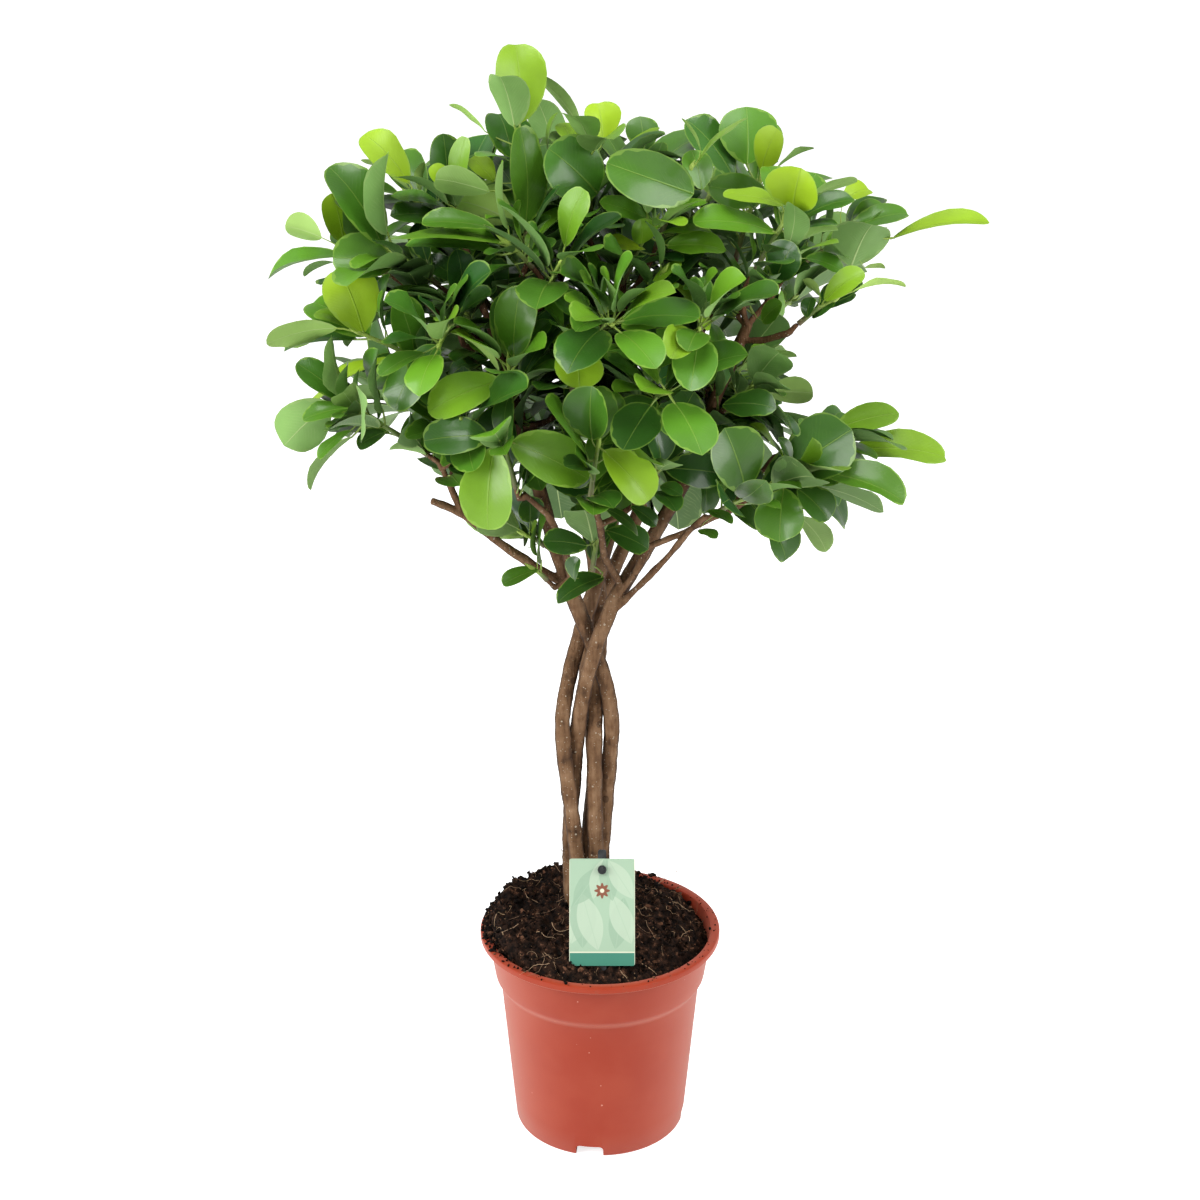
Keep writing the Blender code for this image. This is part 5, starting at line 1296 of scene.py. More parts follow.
@dataclass
class Crown:
    """The leafy shoots, with leaves between those of the frame."""

    seed: int = 21
    stem_sides: int = 7
    stalk_radius: float = 0.00062
    stalk_length: float = 0.008
    blade_start: float = 0.02
    golden_turn: float = radians(137.5)
    shoot_share: float = 1.0
    shoot_tries: int = 44
    twig_leaves: int = 640
    twig_tries: int = 14000
    sight_step: int = 7
    sight_tries: int = 14
    twig_floor: float = 0.405
    box_margin: float = 0.002
    outline: tuple[tuple[int, int], ...] = (
        (330, 440), (295, 425), (275, 395), (300, 345), (305, 290), (330, 265), (330, 230),
        (325, 190), (345, 165), (385, 205), (400, 190), (385, 150), (400, 140), (425, 165),
        (435, 140), (470, 140), (500, 110), (500, 70), (530, 60), (545, 90), (580, 120),
        (615, 110), (620, 140), (640, 125), (690, 130), (720, 120), (760, 115), (785, 135),
        (800, 165), (860, 180), (905, 215), (895, 240), (880, 262), (860, 290), (830, 310),
        (785, 300), (775, 330), (790, 355), (770, 372), (805, 390), (780, 410), (800, 425),
        (850, 410), (890, 430), (930, 445), (900, 490), (880, 510), (830, 545), (785, 555),
        (750, 520), (715, 522), (660, 540), (600, 560), (560, 548), (500, 530), (460, 490),
        (430, 455), (380, 430),
    )

    openings: tuple[tuple[int, int, int], ...] = (
        (758, 338, 28), (800, 300, 18), (790, 352, 14), (758, 455, 15), (800, 418, 14),
        (560, 540, 16), (598, 582, 15), (362, 345, 10), (395, 420, 11), (400, 172, 13),
        (680, 135, 11), (560, 100, 9),
    )

    def __post_init__(self) -> None:
        """Reads the shoots of the frame and models the patterns."""
        self.eye = Eye()
        self.draws = random.Random(self.seed)
        self.low, self.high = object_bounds()
        self.shoots = [
            ShootReader(name, node.data).read()
            for name, node in sorted(frame["nodes"].items())
            if name.startswith("shoot_")
        ]
        log.info("leaves read: %d", sum(len(shoot.leaves) for shoot in self.shoots))
        self.blade = blade_pattern()
        self.stem = rod_pattern("shoot_rod", self.stem_sides, 10)
        self.stalk = rod_pattern("stalk_rod", 5, 3)
        self.room = Room()
        for shoot in self.shoots:
            for leaf in shoot.leaves:
                leaf.vary(self.draws)
                self.room.add(*leaf.strip())
            self.room.add(*self.tube(shoot))
        for name, node in frame["nodes"].items():
            if name.startswith("stem_"):
                mesh = node.data
                points = [vertex.co.copy() for vertex in mesh.vertices]
                self.room.add(points, [tuple(face.vertices) for face in mesh.polygons])
        self.shown = self.shown_points()
        self.shown_at = np.array([self.eye.seen(point) for point in self.shown])
        log.info("points kept in view: %d", len(self.shown))

    def shown_points(self) -> list[Vector]:
        """Points of the frame's leaves that the photograph's view shows."""
        points, faces, owners = [], [], []
        leaves = [leaf for shoot in self.shoots for leaf in shoot.leaves]
        for number, leaf in enumerate(leaves):
            own_points, own_faces = leaf.strip()
            faces += [tuple(i + len(points) for i in face) for face in own_faces]
            owners += [number] * len(own_faces)
            points += own_points
        tree = BVHTree.FromPolygons(points, faces)
        shown = []
        for number, leaf in enumerate(leaves):
            side = (leaf.tip - leaf.base).normalized().cross(leaf.normal) * leaf.width / 4
            for share, off in ((0.25, 0), (0.5, -1), (0.5, 1), (0.75, -1), (0.75, 1), (0.9, 0)):
                point = leaf.middle(share) + side * off
                hit = tree.ray_cast(self.eye.place, (point - self.eye.place).normalized())
                if hit[2] is not None and owners[hit[2]] == number:
                    shown.append(point)
        return shown

    def hides(self, points: Sequence[Vector], faces: Sequence[tuple[int, ...]]) -> bool:
        """Whether a new blade would hide a point that is kept in view."""
        at = np.array([self.eye.seen(point) for point in points])
        low, high = at.min(axis=0), at.max(axis=0)
        near = ((self.shown_at > low) & (self.shown_at < high)).all(axis=1)
        tree = BVHTree.FromPolygons(points, faces)
        for number in np.nonzero(near)[0]:
            sight = self.shown[number] - self.eye.place
            reach = sight.length - 0.001
            if tree.ray_cast(self.eye.place, sight.normalized(), reach)[2] is not None:
                return True
        return False

    def tube(self, shoot: Shoot) -> tuple[list[Vector], list[tuple[int, ...]]]:
        """A shoot's stem as faces, to keep leaves clear of it."""
        line = shoot.route(4)
        radii = np.linspace(shoot.foot_radius, shoot.tip_radius, len(line))
        points = [Vector(p) for p in lay_rod(self.stem, line, radii)]
        return points, [tuple(face.vertices) for face in self.stem.model.data.polygons]

    def inside(self, point: Vector) -> bool:
        """Whether a point is within the crown's outline and the frame's box."""
        margin = self.box_margin
        if any(not self.low[i] + margin < point[i] < self.high[i] - margin for i in range(3)):
            return False
        return self.outlined(*self.eye.seen(point))

    def outlined(self, across: float, down: float) -> bool:
        """Whether a place in the view is within the crown's outline."""
        within = False
        for (x0, y0), (x1, y1) in zip(self.outline, self.outline[1:] + self.outline[:1]):
            if (y0 > down) != (y1 > down) and across < x0 + (down - y0) / (y1 - y0) * (x1 - x0):
                within = not within
        return within

    def in_opening(self, point: Vector) -> bool:
        """Whether a point would stand in an opening of the crown, seen from the front."""
        x, y = self.eye.seen(point)
        return any((x - at) ** 2 + (y - down) ** 2 < reach ** 2 for at, down, reach in self.openings)

    def take(self, leaf: Leaf) -> bool:
        """Keeps a new leaf if it has room, and says whether it did."""
        if not (self.inside(leaf.tip) and self.inside(leaf.middle(0.5))):
            return False
        points, faces = leaf.strip()
        if any(self.in_opening(point) for point in points + [leaf.middle(0.5)]):
            return False
        if self.hides(points, faces) or not self.room.clear_of(points, faces):
            return False
        self.room.add(points, faces)
        leaf.vary(self.draws)
        return True

    def new_leaf(self, root: Vector, heading: Vector, face: Vector, size: float, tone: float) -> Leaf:
        """A leaf on a stalk that leaves its stem along the heading."""
        draws = self.draws
        stalk = self.stalk_length * draws.uniform(0.7, 1.2)
        base = root + heading * stalk
        fall = UP * draws.uniform(-0.30, 0.12)
        ahead = (heading + fall).normalized()
        normal = (face - ahead * face.dot(ahead)).normalized()
        width = size * draws.uniform(0.54, 0.70)
        return Leaf(root, base, base + ahead * size, normal, width, tone)

    def fill_shoot(self, shoot: Shoot) -> int:
        """Grows more leaves on a shoot, on the spiral between those it has."""
        draws = self.draws
        line = shoot.route()
        along = (shoot.tip - shoot.foot).normalized()
        side = along.orthogonal().normalized()
        wanted = round(len(shoot.leaves) * self.shoot_share) + 3
        grown = 0
        for number in range(wanted):
            for attempt in range(self.shoot_tries):
                place = draws.random()
                root = closest(line, shoot.foot.lerp(shoot.tip, place))
                turn = number * self.golden_turn + draws.uniform(-1.6, 1.6)
                radial = side * cos(turn) + along.cross(side) * sin(turn)
                spread = radians(draws.uniform(42, 82) - 24 * place)
                heading = (along * cos(spread) + radial * sin(spread) + UP * 0.15).normalized()
                size = draws.uniform(0.026, 0.046) * (1 - 0.012 * attempt)
                outward = (root - Vector((0, 0, 0.42))).normalized()
                face = along * 0.4 + UP * 0.8 + outward * 0.45
                face += Vector([draws.uniform(-0.4, 0.4) for _ in range(3)])
                tone = min(max(draws.gauss(0.20 + 0.35 * place ** 3, 0.16), 0), 1)
                leaf = self.new_leaf(root, heading, face, size, tone)
                if self.take(leaf):
                    shoot.leaves.append(leaf)
                    grown += 1
                    break
        return grown

    def twig_places(self) -> tuple[list[tuple[str, Vector, Vector]], list[float]]:
        """Where leaves may leave the twigs: the stem's name, the spot and its outward side."""
        places: list[tuple[str, Vector, Vector]] = []
        weights: list[float] = []
        for name, node in sorted(frame["nodes"].items()):
            if not name.startswith("stem_"):
                continue
            for face in node.data.polygons:
                if face.center.z > self.twig_floor:
                    places.append((name, face.center.copy(), face.normal.copy()))
                    weights.append(face.area)
        return places, weights

    def bare_sights(self) -> list[tuple[float, float]]:
        """Places in the view, within the outline, where nothing stands in the crown."""
        tree = self.room.whole()
        found = []
        for down in range(80, 560, self.sight_step):
            for across in range(270, 960, self.sight_step):
                if not self.outlined(across, down):
                    continue
                point = self.eye.spot(across, down, 0)
                if self.in_opening(point):
                    continue
                sight = (point - self.eye.place).normalized()
                if tree.ray_cast(self.eye.place, sight)[2] is None:
                    found.append((across, down))
        return found

    def cover_sights(self, grown: dict[str, list[Leaf]]) -> int:
        """Grows dark inner leaves across the places where the view passes through the crown."""
        draws = self.draws
        places, _ = self.twig_places()
        seen = np.array([self.eye.seen(spot) for _, spot, _ in places])
        sights = self.bare_sights()
        draws.shuffle(sights)
        count = 0
        for across, down in sights:
            off = np.hypot(seen[:, 0] - across, seen[:, 1] - down)
            near = np.nonzero((off > 14) & (off < 75))[0]
            if not len(near):
                continue
            for _ in range(self.sight_tries):
                name, spot, outside = places[draws.choice(near)]
                target = self.eye.spot(across, down, -1000 * spot.y + draws.uniform(-12, 8))
                reach = target - spot
                heading = reach.normalized()
                size = min(max((reach.length - self.stalk_length) * 1.7, 0.024), 0.046)
                face = (self.eye.place - spot).normalized() * 0.6 + UP * 0.5
                face += Vector([draws.uniform(-0.4, 0.4) for _ in range(3)])
                root = spot + outside * 0.0003
                leaf = self.new_leaf(root, heading, face, size, draws.uniform(0, 0.25))
                if self.take(leaf):
                    grown.setdefault(name, []).append(leaf)
                    count += 1
                    break
        log.info("sights covered: %d of %d", count, len(sights))
        return count

    def twig_leaf_sets(self) -> dict[str, list[Leaf]]:
        """Leaves grown on the twigs inside the crown, by the stem that carries them."""
        draws = self.draws
        places, weights = self.twig_places()
        grown: dict[str, list[Leaf]] = {}
        count = 0
        for _ in range(self.twig_tries):
            name, spot, outside = draws.choices(places, weights)[0]
            outward = (spot - Vector((0, 0, 0.42))).normalized()
            heading = outside * 0.8 + outward * 0.5 + UP * 0.25
            heading += Vector([draws.uniform(-0.5, 0.5) for _ in range(3)])
            heading.normalize()
            face = UP * 0.9 + outward * 0.5 + Vector([draws.uniform(-0.3, 0.3) for _ in range(3)])
            root = spot + outside * 0.0003
            leaf = self.new_leaf(root, heading, face, draws.uniform(0.026, 0.046), draws.uniform(0, 0.35))
            if self.take(leaf):
                grown.setdefault(name, []).append(leaf)
                count += 1
                if count >= self.twig_leaves:
                    break
        log.info("leaves grown on twigs: %d", count)
        self.cover_sights(grown)
        return grown

    def leaf_copies(self, leaf: Leaf, finishes: Sequence[bpy.types.Material]) -> list[bpy.types.Object]:
        """A leaf's blade and stalk as copies of the patterns."""
        blade = self.blade.copy(leaf.surface(self.blade.points), tone=leaf.tone, shade=leaf.shade, age=1.0)
        Bench.dress(blade, *finishes[:2])
        ahead = (leaf.tip - leaf.base).normalized()
        inner = leaf.middle(0.05)
        bend = leaf.base - ahead * self.stalk_length * 0.25
        middle = leaf.root.lerp(bend, 0.55)
        route = interpolate_bezier(leaf.root, middle, bend, inner, 7)
        radius = self.stalk_radius * min(leaf.length / 0.04, 1.1)
        radii = np.linspace(radius * 1.15, radius * 0.85, len(route))
        points = lay_rod(self.stalk, [Vector(p) for p in route], radii)
        age = 0.55 + 0.4 * leaf.tone
        stalk = self.stalk.copy(points, tone=leaf.tone, shade=1.0, age=age)
        Bench.dress(stalk, finishes[2])
        return [blade, stalk]

    def build_shoot(self, shoot: Shoot, finishes: Sequence[bpy.types.Material]) -> bpy.types.Object:
        """A shoot with its stem, bud and leaves as one piece."""
        line = shoot.route()
        reach = np.linspace(0, 1, len(line))
        radii = shoot.foot_radius + (shoot.tip_radius * 0.85 - shoot.foot_radius) * reach
        age = self.stem.points[:, 2] * 0.85
        stem = self.stem.copy(lay_rod(self.stem, line, radii), tone=0.4, shade=1.0, age=age)
        Bench.dress(stem, finishes[2])
        ahead = (line[-1] - line[-2]).normalized()
        length = self.draws.uniform(0.006, 0.010)
        bud_line = [line[-1] - ahead * 0.0005 + ahead * length * i / 5 for i in range(6)]
        bud_radii = [0.00105, 0.00135, 0.00125, 0.00095, 0.0005, 0.00008]
        bud = self.stem.copy(lay_rod(self.stem, bud_line, bud_radii), tone=0.9, shade=1.0, age=1.0)
        Bench.dress(bud, finishes[2])
        copies = [stem, bud]
        for leaf in shoot.leaves:
            copies += self.leaf_copies(leaf, finishes)
        piece = Bench.join(f"{shoot.name}_leafy", copies)
        return Bench.finish(piece, Slot.LEAF, [shoot.name], radians(75))

    def build(self, effects: Effects) -> list[bpy.types.Object]:
        """All shoots, and the leaves on the twigs."""
        finishes = (
            LEAF_UPPER.build(effects), LEAF_UNDER.build(effects), GreenStemFinish().build(effects)
        )
        more = sum(self.fill_shoot(shoot) for shoot in self.shoots)
        log.info("leaves grown on shoots: %d", more)
        inner = self.twig_leaf_sets()
        pieces = [self.build_shoot(shoot, finishes) for shoot in self.shoots]
        for name, leaves in sorted(inner.items()):
            copies = []
            for leaf in leaves:
                copies += self.leaf_copies(leaf, finishes)
            piece = Bench.join(f"{name}_twig_leaves", copies)
            pieces.append(Bench.finish(piece, Slot.LEAF, (), radians(75)))
        for pattern in (self.blade, self.stem, self.stalk):
            pattern.discard()
        return pieces


# ---------------------------------------------------------------- wood


@dataclass
class Wood:
    """The five braided stems with their limbs and twigs."""

    voxel: float = 0.0006
    swell: float = 0.0013
    swell_size: float = 0.011
    kept_share: float = 0.5
    slice: float = 0.002
    evened: float = 0.008
    braid_top: float = 0.335
    braid_fade: float = 0.03

    def build(self, effects: Effects) -> list[bpy.types.Object]:
        """The stems, each from its node: its joints rounded and its line made uneven."""
        bark = BarkFinish().build(effects)
        lumps = bpy.data.textures.new("bark_lumps", "CLOUDS")
        lumps.noise_scale = self.swell_size
        lumps.noise_depth = 2
        pieces = []
        for name, node in sorted(frame["nodes"].items()):
            if name.startswith("stem_"):
                pieces.append(self.round_stem(name, node, bark, lumps))
        return pieces

    def round_stem(self, name, node, bark, lumps) -> bpy.types.Object:
        """One stem: a merged copy of its node, remeshed, smoothed and swollen."""
        piece = node.copy()
        piece.data = node.data.copy()
        piece.name = f"{name}_bark"
        piece.parent = None
        bpy.context.scene.collection.objects.link(piece)
        piece.matrix_world = node.matrix_world.copy()
        Bench.edit(piece)
        bpy.ops.mesh.remove_doubles(threshold=1e-6)
        Bench.clear()
        remesh = piece.modifiers.new("round", "REMESH")
        remesh.mode = "VOXEL"
        remesh.voxel_size = self.voxel
        Bench.apply(piece)
        self.straighten(piece)
        even = piece.modifiers.new("even", "SMOOTH")
        even.factor = 0.5
        even.iterations = 5
        uneven = piece.modifiers.new("uneven", "DISPLACE")
        uneven.texture = lumps
        uneven.strength = self.swell
        uneven.mid_level = 0.20
        fewer = piece.modifiers.new("fewer", "DECIMATE")
        fewer.ratio = self.kept_share
        Bench.apply(piece)
        Bench.dress(piece, bark)
        return Bench.finish(piece, Slot.BARK, [name], radians(80))

    def straighten(self, piece: bpy.types.Object) -> None:
        """Takes the kinks out of a stem's line in the braid by sliding its slices."""
        count = len(piece.data.vertices)
        points = np.empty(count * 3, dtype=np.float32)
        piece.data.vertices.foreach_get("co", points)
        points = points.reshape(-1, 3).astype(float)
        low = points[:, 2].min()
        number = ((points[:, 2] - low) / self.slice).astype(int)
        slices = number.max() + 1
        total = np.bincount(number, minlength=slices).clip(1)
        levels = low + (np.arange(slices) + 0.5) * self.slice
        reach = int(3 * self.evened / self.slice)
        window = np.exp(-0.5 * (np.arange(-reach, reach + 1) * self.slice / self.evened) ** 2)
        window /= window.sum()
        hold = np.clip((self.braid_top - points[:, 2]) / self.braid_fade, 0, 1)
        for axis in range(2):
            line = np.bincount(number, points[:, axis], minlength=slices) / total
            padded = np.concatenate([
                2 * line[0] - line[reach:0:-1], line, 2 * line[-1] - line[-2:-reach - 2:-1]
            ])
            shift = np.convolve(padded, window, "valid") - line
            points[:, axis] += np.interp(points[:, 2], levels, shift) * hold
        piece.data.vertices.foreach_set("co", np.ascontiguousarray(points, dtype=np.float32).ravel())
        piece.data.update()


# ---------------------------------------------------------------- pot


def turned(name: str, profile: Sequence[tuple[float, float]], steps: int) -> bpy.types.Object:
    """A round piece, turned about the axis.

    Args:
        name: The piece's name.
        profile: The radii and heights that its wall passes through, outside first.
        steps: The faces round it.

    Returns:
        The piece, with its faces outwards.
    """
    Bench.clear()
    bpy.ops.mesh.primitive_plane_add(size=0.001, location=(profile[0][0], 0, profile[0][1]))
    piece = bpy.context.object
    piece.name = name
    bpy.ops.object.transform_apply(location=True, rotation=True, scale=True)
    Bench.edit(piece)
    bpy.ops.mesh.merge(type="CENTER")
    for (radius, height), (to_radius, to_height) in zip(profile, profile[1:]):
        move = (to_radius - radius, 0, to_height - height)
        bpy.ops.mesh.extrude_region_move(TRANSFORM_OT_translate={"value": move})
    bpy.ops.mesh.select_all(action="SELECT")
    bpy.ops.mesh.spin(steps=steps, angle=2 * pi, center=(0, 0, 0), axis=(0, 0, 1))
    bpy.ops.mesh.select_all(action="SELECT")
    bpy.ops.mesh.remove_doubles(threshold=1e-6)
    bpy.ops.mesh.normals_make_consistent(inside=False)
    Bench.clear()
    return piece


@dataclass
class Pot:
    """The thin moulded pot: lip, collar, shoulder, tapered wall, foot ring and raised floor."""

    height: float = 0.125
    wall: float = 0.0014
    rim_radius: float = 0.070
    lip_width: float = 0.0051
    lip_drop: float = 0.0038
    collar_height: float = 0.0275
    collar_radius: float = 0.0616
    shoulder_radius: float = 0.0583
    shoulder_drop: float = 0.0065
    foot_radius: float = 0.0503
    foot_width: float = 0.0036
    floor_rise: float = 0.0066
    boss_radius: float = 0.015
    steps: int = 112
    notches: int = 4
    notch_width: float = 0.016
    notch_height: float = 0.0065
    notch_turn: float = radians(-97)
    drains: int = 5
    drain_radius: float = 0.0036
    drain_circle: float = 0.032

    def outside(self) -> list[tuple[float, float]]:
        """The outer profile from the foot up to the flange's underside."""
        top = self.height - self.collar_height
        low = top - self.shoulder_drop
        path = [(self.foot_radius - 0.0009, 0.0), (self.foot_radius - 0.0003, 0.0003)]
        path.append((self.foot_radius + 0.00005, 0.0010))
        path += self.line((self.foot_radius + 0.00005, 0.001), (self.shoulder_radius, low), 6)
        path += self.moulding_line(low)
        for i in range(1, 7):
            share = i / 6
            soft = share * share * (3 - 2 * share)
            radius = self.shoulder_radius + (self.collar_radius - self.shoulder_radius) * soft
            path.append((radius, low + self.shoulder_drop * share))
        neck = self.rim_radius - self.lip_width + self.wall / 2
        path += self.line((self.collar_radius, top), (neck, self.height - self.wall - 0.0006), 4)
        path.append((neck + 0.0006, self.height - self.wall))
        return path

    @staticmethod
    def moulding_line(low: float) -> list[tuple[float, float]]:
        """No points: the fine raised line round the pot below its shoulder is left out."""
        return []

    @staticmethod
    def line(start: tuple[float, float], end: tuple[float, float], count: int):
        """Points on a straight wall after its start, up to its end."""
        return [
            (start[0] + (end[0] - start[0]) * i / count, start[1] + (end[1] - start[1]) * i / count)
            for i in range(1, count + 1)
        ]

    def lip(self) -> list[tuple[float, float]]:
        """The rounded lip from the flange's underside over to its inner edge."""
        rim, top, wall = self.rim_radius, self.height, self.wall
        skirt = top - self.lip_drop
        inner = rim - self.lip_width - wall / 2
        return [
            (rim - wall, top - wall), (rim - wall, skirt + 0.0003), (rim - wall * 0.8, skirt),
            (rim - wall * 0.25, skirt), (rim, skirt + 0.0004), (rim, top - 0.0011),
            (rim - 0.0003, top - 0.0004), (rim - 0.0010, top), (inner + 0.0016, top),
            (inner + 0.0006, top - 0.0003), (inner + 0.0001, top - 0.0011),
        ]

    def inside(self) -> list[tuple[float, float]]:
        """The inner profile from the lip down to the middle of the floor."""
        wall = self.wall
        top = self.height - self.collar_height
        low = top - self.shoulder_drop
        path = [(self.collar_radius - wall, top), (self.shoulder_radius - wall, low)]
        path.append((self.foot_radius - wall, wall + 0.0012))
        step = self.foot_radius - self.foot_width - wall / 2
        path += [
            (self.foot_radius - wall - 0.0010, wall), (step, wall),
            (step - 0.0022, self.floor_rise + wall), (self.boss_radius + 0.006, self.floor_rise + wall),
            (self.boss_radius, wall), (0.0, wall),
        ]
        return path

    def underside(self) -> list[tuple[float, float]]:
        """The under profile from the middle of the floor out to the foot."""
        step = self.foot_radius - self.foot_width - self.wall / 2
        return [
            (0.0, 0.0), (self.boss_radius - 0.0006, 0.0), (self.boss_radius, 0.0004),
            (self.boss_radius + 0.006, self.floor_rise), (step - 0.003, self.floor_rise),
            (step - 0.0006, 0.0004), (step, 0.0), (self.foot_radius - 0.0009, 0.0),
        ]

    def notch(self, number: int) -> bpy.types.Object:
        """The cutter of one drain notch, with its upper corners rounded."""
        turn = self.notch_turn + 2 * pi * number / self.notches
        Bench.clear()
        bpy.ops.mesh.primitive_cube_add(size=1.0)
        cutter = bpy.context.object
        Bench.edit(cutter)
        size = (0.024, self.notch_width, self.notch_height * 2)
        bpy.ops.transform.resize(value=size, center_override=(0, 0, 0))
        high, wide = size[2] * 0.45, size[1] * 0.45
        Bench.pick(cutter, lambda p: p.z > high and abs(p.y) > wide, "EDGE")
        bpy.ops.mesh.bevel(offset=0.0025, segments=5)
        Bench.clear()
        cutter.location = (self.foot_radius * cos(turn), self.foot_radius * sin(turn), 0)
        cutter.rotation_euler = (0, 0, turn)
        return cutter

    def drain(self, number: int) -> bpy.types.Object:
        """The cutter of one round hole in the raised floor."""
        turn = 2 * pi * (number + 0.5) / self.drains
        place = (self.drain_circle * cos(turn), self.drain_circle * sin(turn), self.floor_rise)
        Bench.clear()
        bpy.ops.mesh.primitive_cylinder_add(
            vertices=24, radius=self.drain_radius, depth=0.01, location=place
        )
        return bpy.context.object

    def build(self, effects: Effects) -> bpy.types.Object:
        """The pot as one piece."""
        profile = self.outside() + self.lip() + self.inside() + self.underside()
        pot = turned("growers_pot", profile, self.steps)
        cutters = [self.notch(i) for i in range(self.notches)]
        cutters += [self.drain(i) for i in range(self.drains)]
        Bench.cut(pot, cutters)
        Bench.dress(pot, PotFinish().build(effects))
        return Bench.finish(pot, Slot.POT, ["pot"], radians(35))


# ---------------------------------------------------------------- soil


